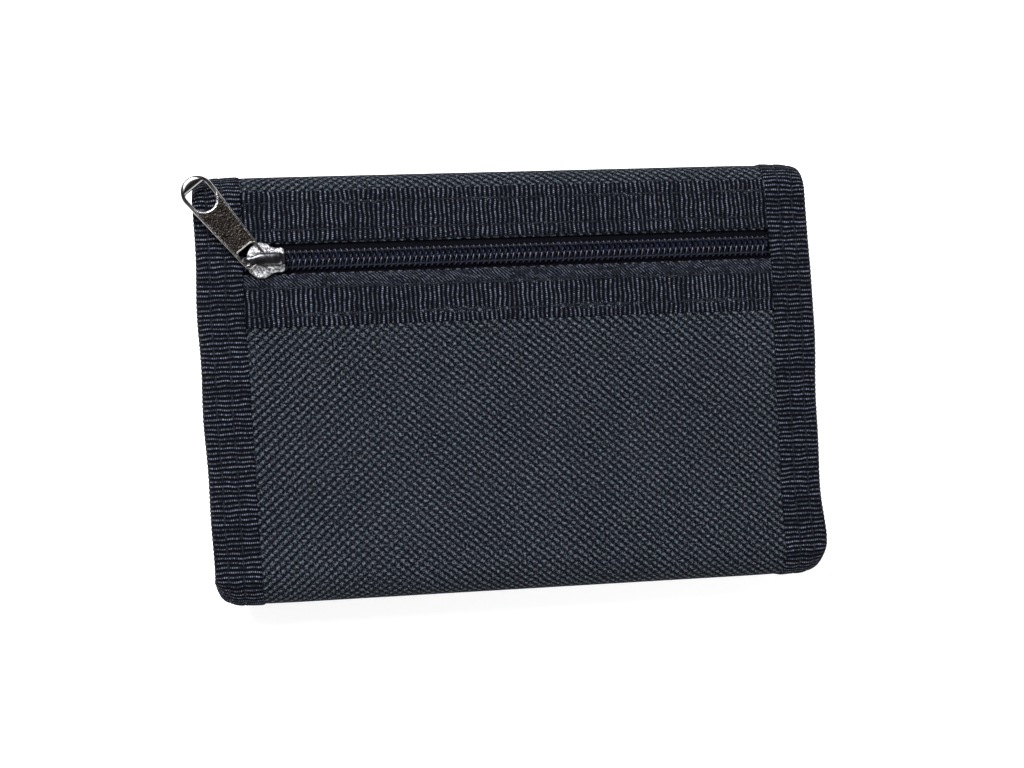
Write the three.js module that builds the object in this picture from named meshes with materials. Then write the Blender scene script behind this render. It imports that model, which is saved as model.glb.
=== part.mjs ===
// Tri-fold fabric wallet with a zipped coin pocket, modelled closed.
// Units are millimetres. +X runs along the zip, +Y towards the top fold and +Z up.
// The closed wallet rests on its closing flap at z = 0, with the zip face on top.
//
// The outer cloth is one strip in five flat panels: closing flap, top spine, back
// panel, bottom spine and inner panel. Each panel is built in a frame of its own:
// x across the wallet, y along the strip and z the depth inwards from the outer face.
import * as THREE from 'three';

// Closed size.
const WIDTH = 124;
const HEIGHT = 84.5;
const THICKNESS = 20;

// Folds. A fold turns about a line a little inside the corner, so the cloth round
// it keeps its length and the panels open out level with each other.
const FOLD_RADIUS = 6;
const PIVOT_INSET = FOLD_RADIUS * (1 - Math.SQRT1_2);
const FOLD_GAP = 0.2;

// Side tape, a channel folded over the edges of every panel.
const TAPE_WIDTH = 9.1;
const TAPE_THICKNESS = 0.4;
const TAPE_CLEARANCE = 0.2;
const HALF = WIDTH / 2;
const TAPE_INNER_X = HALF - TAPE_WIDTH;
const LAYER_HALF = HALF - TAPE_THICKNESS - TAPE_CLEARANCE;
const OPEN_HALF = TAPE_INNER_X - TAPE_CLEARANCE;

// Cloth layers, as depths inwards from a panel's outer face.
const SHELL_STEP = 0.5;
const SHELL_BACK = 0.85;
const SPINE_LINING = [0.92, 1.12];
const SPINE_DEPTH = 1.46;

// Back panel, which holds the coin pocket.
const BACK_DEPTH = 7.4;
const BACK_HALF = HEIGHT / 2 - PIVOT_INSET - FOLD_GAP;
const BACK_SHELL = [0.5, 0.95];
const COIN_LINING = [5.7, 6.0];
const BILL_LINING = [6.4, 6.8];
const REAR_CARD_POCKET = { depth: [6.9, 7.2], height: 49 };
const FRONT_CARD_POCKET = { depth: [7.3, 7.6], height: 37 };
const POCKET_FOOT_Y = -37.5;

// Zip, with its centre line at ZIP_Y.
const ZIP_Y = 25.1;
const SHELL_EDGE = [2.7, 3.2];
const ZIP_TAPE_EDGE = 7.3;
const ZIP_TAPE = [1.05, 1.4];
const COIL_WIDTH = 1.65;
const COIL_GAP = 1.0;
const COIL = [0.1, 1.0];
const RIBBON_EDGE = [2.95, 3.55];
const RIBBON_WIDTH = 10.2;
const RIBBON = [0.05, 0.45];

// Zip slider, drawn closed at the left end.
const SLIDER_X = -48.3;
const SLIDER_LENGTH = 9;
const SLIDER_WIDTH = 7;
const SLIDER_FOOT_WIDTH = 6;
const SLIDER_TOP = [-0.7, -0.1];
const SLIDER_FOOT = [1.6, 2.2];
const SLIDER_POST_WIDTH = 0.4;

// Bridge over the slider, and the pull that hangs on it.
const BRIDGE_HALF = 4.4;
const BRIDGE_WIDTH = 0.6;
const BRIDGE_BAR = 0.6;
const BRIDGE_CORNER = 1.2;
const PULL_THICKNESS = 1.1;
const PULL_AXIS_RISE = 0.85;
const PULL_AXIS_OFFSET = { x: -2.6, y: -0.35 };
const PULL_HEADING = THREE.MathUtils.degToRad(127.7);
const PULL_BAR = 0.55;
const PULL_NARROW = 2.25;
const PULL_WIDE = 3.3;
const PULL_ROUND_AT = 17.5;
const PULL_CORNER = 0.7;
const PULL_EYE = { start: 0.55, end: 3.2, half: 1.7, corner: 0.6 };
const PULL_SLOT = { start: 12.9, end: 17.6, half: 2.3 };

// Closing flap.
const FLAP_FREE_Y = -39.7;
const FLAP_LINING = [0.95, 1.3];
const FLAP_DEPTH = 1.9;
const HOOK_STRIP = { x: 36, y: [-36, -16], depth: [1.95, 2.75] };

// Inner panel, which leans up from the bottom fold as a folded one does.
const INNER_TILT = THREE.MathUtils.degToRad(5);
const INNER_RISE = 4.2;
const INNER_LENGTH = 52;
const INNER_LINING = [1.0, 1.3];
const INNER_DEPTH = 1.9;
const LOOP_STRIP = { x: 36, y: [5, 23], depth: [-0.75, -0.06] };
const WINDOW_FILM = [1.4, 1.6];
const WINDOW_FRAME = [1.75, 2.1];
const WINDOW = { half: 44, y: [3, 41], border: 5 };

const cloth = (color) => ({ color, roughness: 0.9, metalness: 0 });
const FINISHES = {
  oxford: cloth(0x2b3036),
  grosgrain: cloth(0x22252c),
  lining: cloth(0x1c1e22),
  zipTape: cloth(0x15171c),
  hook: cloth(0x1a1a1c),
  coil: { color: 0x1e2028, roughness: 0.35, metalness: 0 },
  film: { color: 0xd8dcdc, roughness: 0.1, metalness: 0, transparent: true, opacity: 0.35 },
  slider: { color: 0xc9c9c7, roughness: 0.25, metalness: 1 },
  bridge: { color: 0x4a4a4c, roughness: 0.3, metalness: 1 },
  pull: { color: 0x5a5650, roughness: 0.35, metalness: 1 },
};

const wallet = new THREE.Group();

// A panel's frame: turned about X, with its outer face at depth 0.
function panel(turn, y, z) {
  const group = new THREE.Group();
  group.position.set(0, y, z);
  group.rotation.x = turn;
  wallet.add(group);
  return group;
}

function add(group, name, geometry, finish) {
  const mesh = new THREE.Mesh(geometry, new THREE.MeshStandardMaterial(FINISHES[finish]));
  mesh.name = name;
  group.add(mesh);
  return mesh;
}

// A flat rectangular layer, given by its extent across, along and in depth.
function layer(group, name, x, y, depth, finish) {
  const geometry = new THREE.BoxGeometry(x[1] - x[0], y[1] - y[0], depth[1] - depth[0]);
  geometry.translate((x[0] + x[1]) / 2, (y[0] + y[1]) / 2, (depth[0] + depth[1]) / 2);
  return add(group, name, geometry, finish);
}

function outline(points) {
  return new THREE.Shape(points.map(([a, b]) => new THREE.Vector2(a, b)));
}

// A section in across and depth, carried along the strip.
function sectionAlongY(points, y) {
  const depth = y[1] - y[0];
  const geometry = new THREE.ExtrudeGeometry(outline(points), { depth, bevelEnabled: false });
  geometry.rotateX(Math.PI / 2);
  geometry.translate(0, y[1], 0);
  return geometry;
}

// A section in along and depth, carried across the wallet.
function sectionAlongX(points, x) {
  const depth = x[1] - x[0];
  const geometry = new THREE.ExtrudeGeometry(outline(points), { depth, bevelEnabled: false });
  geometry.applyMatrix4(
    new THREE.Matrix4().makeBasis(
      new THREE.Vector3(0, 1, 0),
      new THREE.Vector3(0, 0, 1),
      new THREE.Vector3(1, 0, 0),
    ),
  );
  geometry.translate(x[0], 0, 0);
  return geometry;
}

// The section of tape folded over an edge: open at "mouth", closed at "edge".
function foldedTape(mouth, edge, depth) {
  const web = edge - Math.sign(edge - mouth) * TAPE_THICKNESS;
  return [
    [mouth, 0],
    [edge, 0],
    [edge, depth],
    [mouth, depth],
    [mouth, depth - TAPE_THICKNESS],
    [web, depth - TAPE_THICKNESS],
    [web, TAPE_THICKNESS],
    [mouth, TAPE_THICKNESS],
  ];
}

function sideTapes(group, prefix, y, depth) {
  const left = foldedTape(-TAPE_INNER_X, -HALF, depth);
  const right = foldedTape(TAPE_INNER_X, HALF, depth);
  add(group, `${prefix}_tape_left`, sectionAlongY(left, y), 'grosgrain');
  add(group, `${prefix}_tape_right`, sectionAlongY(right, y), 'grosgrain');
}

// Outer cloth that lies level with the side tape and steps down to pass under it.
function steppedShell(group, name, y) {
  const section = [
    [-OPEN_HALF, 0],
    [OPEN_HALF, 0],
    [OPEN_HALF, SHELL_STEP],
    [LAYER_HALF, SHELL_STEP],
    [LAYER_HALF, SHELL_BACK],
    [-LAYER_HALF, SHELL_BACK],
    [-LAYER_HALF, SHELL_STEP],
    [-OPEN_HALF, SHELL_STEP],
  ];
  add(group, name, sectionAlongY(section, y), 'oxford');
}

// One fold's spine: outer cloth, lining and side tape, between its two pivots.
function spine(group, prefix, y) {
  steppedShell(group, `${prefix}_shell`, y);
  layer(group, `${prefix}_lining`, [-LAYER_HALF + 1, LAYER_HALF - 1], y, SPINE_LINING, 'lining');
  const tape = { left: [-TAPE_INNER_X, -HALF], right: [TAPE_INNER_X, HALF] };
  for (const [side, [mouth, edge]] of Object.entries(tape)) {
    const section = foldedSpineTape(mouth, edge);
    add(group, `${prefix}_tape_${side}`, sectionAlongY(section, y), 'grosgrain');
  }
}

// Spine tape lies on the outer cloth and turns over the edge onto the lining.
function foldedSpineTape(mouth, edge) {
  const web = edge - Math.sign(edge - mouth) * TAPE_THICKNESS;
  const inner = SPINE_LINING[1] + 0.08;
  return [
    [mouth, 0],
    [edge, 0],
    [edge, SPINE_DEPTH],
    [mouth, SPINE_DEPTH],
    [mouth, inner],
    [web, inner],
    [web, TAPE_THICKNESS],
    [mouth, TAPE_THICKNESS],
  ];
}

// Back panel: its frame looks down from the zip face, with y reversed.
function backPanel() {
  const group = panel(Math.PI, 0, THICKNESS);
  const across = [-LAYER_HALF, LAYER_HALF];
  const between = [-OPEN_HALF, OPEN_HALF];
  const span = (from, to) => [-to, -from];

  const upperEdge = ZIP_Y + SHELL_EDGE[1];
  const lowerEdge = ZIP_Y - SHELL_EDGE[0];
  layer(group, 'shell_upper_strip', across, span(upperEdge, BACK_HALF), BACK_SHELL, 'oxford');
  layer(group, 'shell_lower_panel', across, span(-BACK_HALF, lowerEdge), BACK_SHELL, 'oxford');

  const split = COIL_GAP / 2;
  const coilEdge = split + COIL_WIDTH;
  const upperTape = span(ZIP_Y + split, ZIP_Y + ZIP_TAPE_EDGE);
  const lowerTape = span(ZIP_Y - ZIP_TAPE_EDGE, ZIP_Y - split);
  layer(group, 'zip_tape_upper', across, upperTape, ZIP_TAPE, 'zipTape');
  layer(group, 'zip_tape_lower', across, lowerTape, ZIP_TAPE, 'zipTape');
  layer(group, 'zip_coil_upper', between, span(ZIP_Y + split, ZIP_Y + coilEdge), COIL, 'coil');
  layer(group, 'zip_coil_lower', between, span(ZIP_Y - coilEdge, ZIP_Y - split), COIL, 'coil');

  const upper = ZIP_Y + RIBBON_EDGE[1];
  const lower = ZIP_Y - RIBBON_EDGE[0];
  layer(group, 'ribbon_upper', between, span(upper, upper + RIBBON_WIDTH), RIBBON, 'grosgrain');
  layer(group, 'ribbon_lower', between, span(lower - RIBBON_WIDTH, lower), RIBBON, 'grosgrain');

  const full = span(-BACK_HALF, BACK_HALF);
  layer(group, 'coin_pocket_lining', across, full, COIN_LINING, 'lining');
  layer(group, 'bill_pocket_lining', across, full, BILL_LINING, 'lining');
  for (const [name, pocket] of [
    ['card_pocket_rear', REAR_CARD_POCKET],
    ['card_pocket_front', FRONT_CARD_POCKET],
  ]) {
    const rows = span(POCKET_FOOT_Y, POCKET_FOOT_Y + pocket.height);
    layer(group, name, between, rows, pocket.depth, 'lining');
  }
  sideTapes(group, 'back', full, BACK_DEPTH);
}

function closingFlap() {
  const group = panel(0, 0, 0);
  const rows = [FLAP_FREE_Y, BACK_HALF];
  const shellRows = [FLAP_FREE_Y + TAPE_WIDTH + TAPE_CLEARANCE, BACK_HALF];
  const liningRows = [FLAP_FREE_Y + TAPE_THICKNESS + TAPE_CLEARANCE, BACK_HALF];
  const across = [-LAYER_HALF, LAYER_HALF];
  steppedShell(group, 'flap_shell', shellRows);
  layer(group, 'flap_lining', across, liningRows, FLAP_LINING, 'lining');
  sideTapes(group, 'flap', rows, FLAP_DEPTH);
  const edge = foldedTape(FLAP_FREE_Y + TAPE_WIDTH, FLAP_FREE_Y, FLAP_DEPTH);
  add(group, 'flap_edge_tape', sectionAlongX(edge, [-OPEN_HALF, OPEN_HALF]), 'grosgrain');
  const hookAcross = [-HOOK_STRIP.x, HOOK_STRIP.x];
  layer(group, 'hook_strip', hookAcross, HOOK_STRIP.y, HOOK_STRIP.depth, 'hook');
}

function spines() {
  const pivotHigh = THICKNESS - PIVOT_INSET - FOLD_GAP;
  const topLow = PIVOT_INSET + FOLD_GAP;
  spine(panel(Math.PI / 2, HEIGHT / 2, 0), 'top_spine', [topLow, pivotHigh]);
  const bottomLow = INNER_RISE + PIVOT_INSET + FOLD_GAP;
  spine(panel(-Math.PI / 2, -HEIGHT / 2, 0), 'bottom_spine', [-pivotHigh, -bottomLow]);
}

// Plate with a rectangular opening, in across and along.
function framePlate(half, y, border, depth) {
  const shape = outline([[-half, y[0]], [half, y[0]], [half, y[1]], [-half, y[1]]]);
  const inner = [
    [-half + border, y[0] + border],
    [-half + border, y[1] - border],
    [half - border, y[1] - border],
    [half - border, y[0] + border],
  ];
  shape.holes.push(new THREE.Path(inner.map(([a, b]) => new THREE.Vector2(a, b))));
  const height = depth[1] - depth[0];
  const geometry = new THREE.ExtrudeGeometry(shape, { depth: height, bevelEnabled: false });
  geometry.translate(0, 0, depth[0]);
  return geometry;
}

function innerPanel() {
  const pivotY = PIVOT_INSET - HEIGHT / 2;
  const pivotZ = INNER_RISE + PIVOT_INSET;
  const y = pivotY + PIVOT_INSET * Math.sin(INNER_TILT);
  const z = pivotZ - PIVOT_INSET * Math.cos(INNER_TILT);
  const group = panel(INNER_TILT, y, z);
  const rows = [FOLD_GAP, INNER_LENGTH];
  const shellRows = [FOLD_GAP, INNER_LENGTH - TAPE_WIDTH - TAPE_CLEARANCE];
  const liningRows = [FOLD_GAP, INNER_LENGTH - TAPE_THICKNESS - TAPE_CLEARANCE];
  const across = [-LAYER_HALF, LAYER_HALF];
  steppedShell(group, 'inner_shell', shellRows);
  layer(group, 'inner_lining', across, liningRows, INNER_LINING, 'lining');
  sideTapes(group, 'inner', rows, INNER_DEPTH);
  const edge = foldedTape(INNER_LENGTH - TAPE_WIDTH, INNER_LENGTH, INNER_DEPTH);
  add(group, 'inner_edge_tape', sectionAlongX(edge, [-OPEN_HALF, OPEN_HALF]), 'grosgrain');
  const loopAcross = [-LOOP_STRIP.x, LOOP_STRIP.x];
  layer(group, 'loop_strip', loopAcross, LOOP_STRIP.y, LOOP_STRIP.depth, 'hook');
  const filmAcross = [-WINDOW.half, WINDOW.half];
  layer(group, 'id_window_film', filmAcross, WINDOW.y, WINDOW_FILM, 'film');
  const frame = framePlate(WINDOW.half, WINDOW.y, WINDOW.border, WINDOW_FRAME);
  add(group, 'id_window_frame', frame, 'lining');
}

// Slider body: a plate over the coils and a foot under the tapes, joined by a thin post.
function zipSlider() {
  const group = panel(Math.PI, ZIP_Y, THICKNESS);
  const post = SLIDER_POST_WIDTH / 2;
  const plate = SLIDER_WIDTH / 2;
  const foot = SLIDER_FOOT_WIDTH / 2;
  const section = [
    [-plate, SLIDER_TOP[0]],
    [plate, SLIDER_TOP[0]],
    [plate, SLIDER_TOP[1]],
    [post, SLIDER_TOP[1]],
    [post, SLIDER_FOOT[0]],
    [foot, SLIDER_FOOT[0]],
    [foot, SLIDER_FOOT[1]],
    [-foot, SLIDER_FOOT[1]],
    [-foot, SLIDER_FOOT[0]],
    [-post, SLIDER_FOOT[0]],
    [-post, SLIDER_TOP[1]],
    [-plate, SLIDER_TOP[1]],
  ];
  const ends = [SLIDER_X - SLIDER_LENGTH / 2, SLIDER_X + SLIDER_LENGTH / 2];
  add(group, 'slider_body', sectionAlongX(section, ends), 'slider');
}

// The bridge is an arch of square bar whose legs stand on the slider's plate.
function sliderBridge() {
  const foot = THICKNESS - SLIDER_TOP[0] + 0.02;
  const clear = PULL_AXIS_RISE + PULL_THICKNESS * 0.5 + 0.35;
  const crown = foot + clear + BRIDGE_BAR;
  const arch = new THREE.Shape();
  const left = SLIDER_X - BRIDGE_HALF;
  const right = SLIDER_X + BRIDGE_HALF;
  arch.moveTo(left, foot);
  arch.lineTo(left + BRIDGE_BAR, foot);
  arch.lineTo(left + BRIDGE_BAR, crown - BRIDGE_BAR);
  arch.lineTo(right - BRIDGE_BAR, crown - BRIDGE_BAR);
  arch.lineTo(right - BRIDGE_BAR, foot);
  arch.lineTo(right, foot);
  arch.absarc(right - BRIDGE_CORNER, crown - BRIDGE_CORNER, BRIDGE_CORNER, 0, Math.PI / 2);
  arch.absarc(left + BRIDGE_CORNER, crown - BRIDGE_CORNER, BRIDGE_CORNER, Math.PI / 2, Math.PI);
  const settings = { depth: BRIDGE_WIDTH, bevelEnabled: false, curveSegments: 6 };
  const geometry = new THREE.ExtrudeGeometry(arch, settings);
  geometry.rotateX(Math.PI / 2);
  geometry.translate(0, ZIP_Y + BRIDGE_WIDTH / 2, 0);
  add(wallet, 'slider_bridge', geometry, 'bridge');
}

// Pull tab, drawn along its own x axis from the bar that turns in the bridge.
function pullTab() {
  const quarter = Math.PI / 2;
  const near = PULL_CORNER - PULL_BAR;
  const side = PULL_NARROW - PULL_CORNER;
  const shape = new THREE.Shape();
  shape.moveTo(near, -PULL_NARROW);
  shape.absarc(PULL_ROUND_AT, 0, PULL_WIDE, -quarter, quarter);
  shape.lineTo(near, PULL_NARROW);
  shape.absarc(near, side, PULL_CORNER, quarter, 2 * quarter);
  shape.absarc(near, -side, PULL_CORNER, 2 * quarter, 3 * quarter);

  const eye = new THREE.Path();
  const c = PULL_EYE.corner;
  const eyeSide = PULL_EYE.half - c;
  eye.moveTo(PULL_EYE.start, -eyeSide);
  eye.absarc(PULL_EYE.start + c, eyeSide, c, 2 * quarter, quarter, true);
  eye.absarc(PULL_EYE.end - c, eyeSide, c, quarter, 0, true);
  eye.absarc(PULL_EYE.end - c, -eyeSide, c, 0, -quarter, true);
  eye.absarc(PULL_EYE.start + c, -eyeSide, c, -quarter, -2 * quarter, true);
  shape.holes.push(eye);

  const slot = new THREE.Path();
  const roundAt = PULL_SLOT.start + PULL_SLOT.half;
  slot.moveTo(PULL_SLOT.end, PULL_SLOT.half);
  slot.lineTo(PULL_SLOT.end, -PULL_SLOT.half);
  slot.absarc(roundAt, 0, PULL_SLOT.half, -quarter, quarter, true);
  shape.holes.push(slot);

  const settings = { depth: PULL_THICKNESS, bevelEnabled: false, curveSegments: 10 };
  const geometry = new THREE.ExtrudeGeometry(shape, settings);
  geometry.translate(0, 0, -PULL_THICKNESS / 2);
  const mesh = add(wallet, 'pull_tab', geometry, 'pull');
  mesh.rotation.z = PULL_HEADING;
  const axisZ = THICKNESS - SLIDER_TOP[0] + PULL_AXIS_RISE;
  mesh.position.set(SLIDER_X + PULL_AXIS_OFFSET.x, ZIP_Y + PULL_AXIS_OFFSET.y, axisZ);
}

closingFlap();
spines();
backPanel();
innerPanel();
zipSlider();
sliderBridge();
pullTab();

export default wallet;
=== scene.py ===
"""Tri-fold fabric wallet with a zipped coin pocket, modelled closed."""

from types import SimpleNamespace
import bpy
import numpy as np
from mathutils import Matrix, Vector
from mathutils.geometry import delaunay_2d_cdt


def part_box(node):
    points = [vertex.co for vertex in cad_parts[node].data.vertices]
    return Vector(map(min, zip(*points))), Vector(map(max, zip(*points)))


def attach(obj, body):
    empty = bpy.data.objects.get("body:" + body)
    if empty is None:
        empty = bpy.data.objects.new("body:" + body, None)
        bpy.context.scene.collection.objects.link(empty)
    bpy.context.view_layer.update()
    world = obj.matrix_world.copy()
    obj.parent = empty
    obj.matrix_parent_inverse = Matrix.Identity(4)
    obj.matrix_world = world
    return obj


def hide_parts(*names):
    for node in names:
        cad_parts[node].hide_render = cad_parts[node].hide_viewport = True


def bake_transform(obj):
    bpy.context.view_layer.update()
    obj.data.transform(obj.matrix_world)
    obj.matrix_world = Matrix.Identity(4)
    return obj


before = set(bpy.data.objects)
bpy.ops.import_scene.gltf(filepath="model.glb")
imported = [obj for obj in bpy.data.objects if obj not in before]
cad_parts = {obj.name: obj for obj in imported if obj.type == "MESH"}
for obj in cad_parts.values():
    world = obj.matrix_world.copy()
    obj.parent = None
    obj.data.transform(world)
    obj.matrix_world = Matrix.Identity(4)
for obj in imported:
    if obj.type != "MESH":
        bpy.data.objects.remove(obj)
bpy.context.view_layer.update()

bl_info = {
    "name": "Tri-fold zip wallet",
    "version": (1, 0, 0),
    "blender": (4, 5, 0),
    "location": "3D View > Sidebar > Wallet",
    "description": "Cloth, tapes, zip and metal of a folded fabric wallet",
    "category": "Add Mesh",
}


# ---------------------------------------------------------------- places in the frame


def reach(node, corner, axis):
    """One coordinate, in mm, of a corner of a frame node: corner 0 is the lowest, 1 the highest."""
    return 1000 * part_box(node)[corner][axis]


HALF = reach("back_tape_right", 1, 0)
MOUTH = reach("back_tape_right", 0, 0)
FOLD_Y = reach("top_spine_shell", 1, 1)
TOP_Z = reach("back_tape_left", 1, 2)
FLAP_END_Y = reach("flap_edge_tape", 0, 1)
ZIP_Y = 0.5 * (reach("slider_body", 0, 1) + reach("slider_body", 1, 1))
SLIDER_X = 0.5 * (reach("slider_body", 0, 0) + reach("slider_body", 1, 0))

# Chosen sizes in mm, and angles.
FOLD_R = 6.0  # outer radius of every fold
PIVOT_INSET = FOLD_R * (1 - np.sqrt(0.5))
INNER_RISE = reach("bottom_spine_shell", 0, 2) - PIVOT_INSET - 0.2
INNER_LEAN = np.radians(5)
INNER_LENGTH = 52.0
SWELL_END = 45.0  # past this distance from the middle the stack thins towards its side edges
NARROWING = 3.4  # how much narrower, a side, the panels under the back are
ZIP_GAP_ABOVE, ZIP_GAP_BELOW = 3.2, 2.7  # from the zip's middle to the cloth's two edges
COIN_POCKET_REACH = 33.0  # along the strip, each way from mid-back
WINDOW_FOOT, WINDOW_HEAD = 3.0, 41.0  # up the inner panel from its fold
LOOP_FOOT, LOOP_HEAD = 5.0, 23.0  # the same for the loop strip
EDGE_TAPE_DEPTH = 1.9  # between the two legs of a free edge's tape
FURROW = 0.24  # how far a seam's stitches sink a tape
LAP = 0.32  # how far the ribbons' ends raise the side tapes
STITCH_ROWS = {-1: (2.6, 5.6), 1: (3.2, 6.2)}  # in from the left and the right side edge
RIBBON_ROWS = (2.3, 7.6)  # up from a ribbon's lower edge
EDGE_ROWS = (2.6, 6.2)  # in from a panel's free edge
PULL_HEADING = np.radians(127.7)
FLOOR_REACH = 20000.0


# ---------------------------------------------------------------- the folded strip


def carried_strip(sign, steps):
    """A curve in the YZ plane that starts at mid-back and runs round the folds.

    Its heading is the sum of its curvature, which is 0 on a straight and 1 / FOLD_R on a fold,
    and its place is the sum of the heading's cosine and sine. Returns s, y, z and heading.
    """
    ds = 0.01
    turn = np.concatenate([np.full(int(round(n / ds)), k) for n, k in steps])
    heading = np.concatenate([[0.0], np.cumsum(turn) * ds])
    middle = 0.5 * (heading[1:] + heading[:-1])
    y = sign * np.concatenate([[0.0], np.cumsum(np.cos(middle)) * ds])
    z = TOP_Z - np.concatenate([[0.0], np.cumsum(np.sin(middle)) * ds])
    return np.arange(len(y)) * ds, y, z, heading


STRAIGHT = FOLD_Y - FOLD_R
QUARTER = 0.5 * np.pi * FOLD_R
LIFT = FOLD_R - PIVOT_INSET
INNER_LIFT = LIFT * (1 + np.sin(INNER_LEAN)) / np.cos(INNER_LEAN)
INNER_CENTRE_Z = INNER_RISE + PIVOT_INSET + INNER_LIFT
INNER_TANGENT = LIFT * np.cos(INNER_LEAN) + INNER_LIFT * np.sin(INNER_LEAN)
TOP_SPINE = TOP_Z - 2 * FOLD_R
BOTTOM_SPINE = TOP_Z - FOLD_R - INNER_CENTRE_Z
TOP_STEPS = [
    (STRAIGHT, 0),
    (QUARTER, 1 / FOLD_R),
    (TOP_SPINE, 0),
    (QUARTER, 1 / FOLD_R),
    (STRAIGHT - FLAP_END_Y, 0),
]
BOTTOM_STEPS = [
    (STRAIGHT, 0),
    (QUARTER, 1 / FOLD_R),
    (BOTTOM_SPINE, 0),
    (FOLD_R * (0.5 * np.pi + INNER_LEAN), 1 / FOLD_R),
    (INNER_LENGTH - INNER_TANGENT, 0),
]
TOP = carried_strip(1, TOP_STEPS)
BOTTOM = carried_strip(-1, BOTTOM_STEPS)
TOP_MID = STRAIGHT + QUARTER + TOP_SPINE / 2
BOTTOM_MID = -(STRAIGHT + QUARTER + BOTTOM_SPINE / 2)
FLAP_END = TOP[0][-1]
INNER_END = -BOTTOM[0][-1]
FLAP_START = STRAIGHT + 2 * QUARTER + TOP_SPINE


def flap_s(y):
    """Length along the strip at which the closing flap passes that y."""
    return FLAP_START + STRAIGHT - y


def inner_s(rise):
    """Length along the strip at a distance up the inner panel from its fold."""
    return INNER_END + INNER_LENGTH - rise


# Each run of cloth bends over one fold: where along the strip it starts and ends.
RUNS = {
    "back_top": (0.0, TOP_MID),
    "flap": (TOP_MID, FLAP_END),
    "back_bottom": (BOTTOM_MID, 0.0),
    "inner": (INNER_END, BOTTOM_MID),
}


def ease(value, start, end):
    """Smooth step: 0 before start, 1 after end and 3t^2 - 2t^3 between."""
    t = np.clip((value - start) / (end - start), 0, 1)
    return t * t * (3 - 2 * t)


def stack_depth(s):
    """Depth from the outer face to the innermost one: deep at mid-back, thin at the folds."""
    a = np.abs(s)
    thin = 7.4 - 5.8 * ease(a, 24.0, 34.0)
    return thin + 0.35 * ease(a, -BOTTOM_MID + 4, -BOTTOM_MID + 14)


def unshaped(x, s, depth):
    """Point of the strip at x across, s along and a depth inwards, before any soft shaping."""
    forward = s >= 0
    a = np.abs(s)
    y = np.where(forward, np.interp(a, TOP[0], TOP[1]), np.interp(a, BOTTOM[0], BOTTOM[1]))
    z = np.where(forward, np.interp(a, TOP[0], TOP[2]), np.interp(a, BOTTOM[0], BOTTOM[2]))
    heading = np.where(forward, np.interp(a, TOP[0], TOP[3]), np.interp(a, BOTTOM[0], BOTTOM[3]))
    ny = np.where(forward, 1, -1) * np.sin(heading)
    nz = np.cos(heading)
    return np.stack([x + 0 * y, y - depth * ny, z - depth * nz], axis=-1)


def place(x, s, depth):
    """Point of the soft wallet at x across, s along and a depth inwards from the outer face.

    The stack thins and sinks towards both side edges as the square of the distance past
    SWELL_END, each fold's ends pull in as a quarter ellipse, the panels under the back are a
    little narrower and the middle of the back a little wider, two long waves leave no face quite
    flat except along the zip, and the whole leans slightly in plan.
    """
    x, s, depth = np.broadcast_arrays(*(np.asarray(v, float) for v in (x, s, depth)))
    a = np.abs(s)
    edge = np.clip((np.abs(x) - SWELL_END) / (HALF - SWELL_END), 0, 1.05)
    corner = np.clip((np.abs(x) - (HALF - 5)) / 5, 0, 1)
    pull_in = np.where(s < 0, 3.3, 1.7) * (1 - np.sqrt(1 - corner**2))
    on_back = 1 - ease(a, STRAIGHT - 4, STRAIGHT + 3)
    at_fold = ease(a, STRAIGHT - 3, STRAIGHT + 5) * (1 - ease(a, FLAP_START, FLAP_START + 8))
    sink = edge**2 * (0.35 + 1.45 * on_back) + pull_in * at_fold
    squeeze = 1 - 0.45 * edge**2 * on_back
    off_zip = 1 - np.exp(-(((s - ZIP_Y) / 5) ** 4))
    wave = 0.16 * np.sin(0.085 * x + 0.6) * np.sin(0.07 * s + 0.4)
    wave = wave + 0.07 * np.sin(0.21 * x + 0.13 * s + 2.0)
    under = ease(a, STRAIGHT + np.where(s < 0, -1, QUARTER), FLAP_START + 6)
    narrow = 1 - (NARROWING / HALF) * under + 0.009 * np.exp(-(((s - 18) / 13) ** 2))
    sway = 0.22 * edge * np.sin(0.12 * s + np.sign(x)) + 0.1 * edge * np.sin(0.31 * s)
    point = unshaped(x * narrow + sway, s, depth * squeeze + sink + wave * (1 - at_fold) * off_zip)
    point[..., 0] -= 0.012 * point[..., 1]
    return point


def outward(x, s, depth):
    """Unit outward normal, from the difference of two depths."""
    n = place(x, s, depth - 0.5) - place(x, s, depth + 0.5)
    return n / np.linalg.norm(n, axis=-1, keepdims=True)


# ---------------------------------------------------------------- meshes


def mesh_object(name, points, faces, uv=None):
    """A mesh from points in mm and an array of quads or triangles, put in with foreach_set."""
    faces = np.asarray(faces)
    mesh = bpy.data.meshes.new(name)
    mesh.vertices.add(len(points))
    mesh.vertices.foreach_set("co", (np.asarray(points, float) * 0.001).astype(np.float32).ravel())
    sides = faces.shape[1]
    mesh.loops.add(faces.size)
    mesh.loops.foreach_set("vertex_index", faces.astype(np.int32).ravel())
    mesh.polygons.add(len(faces))
    mesh.polygons.foreach_set("loop_start", np.arange(0, faces.size, sides, dtype=np.int32))
    mesh.update(calc_edges=True)
    if uv is not None:
        layer = mesh.uv_layers.new(name="UVMap")
        layer.data.foreach_set("uv", np.asarray(uv, np.float32)[faces.ravel()].ravel())
    mesh.polygons.foreach_set("use_smooth", np.ones(len(faces), bool))
    mesh.validate()
    obj = bpy.data.objects.new(name, mesh)
    bpy.context.scene.collection.objects.link(obj)
    return obj


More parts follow.
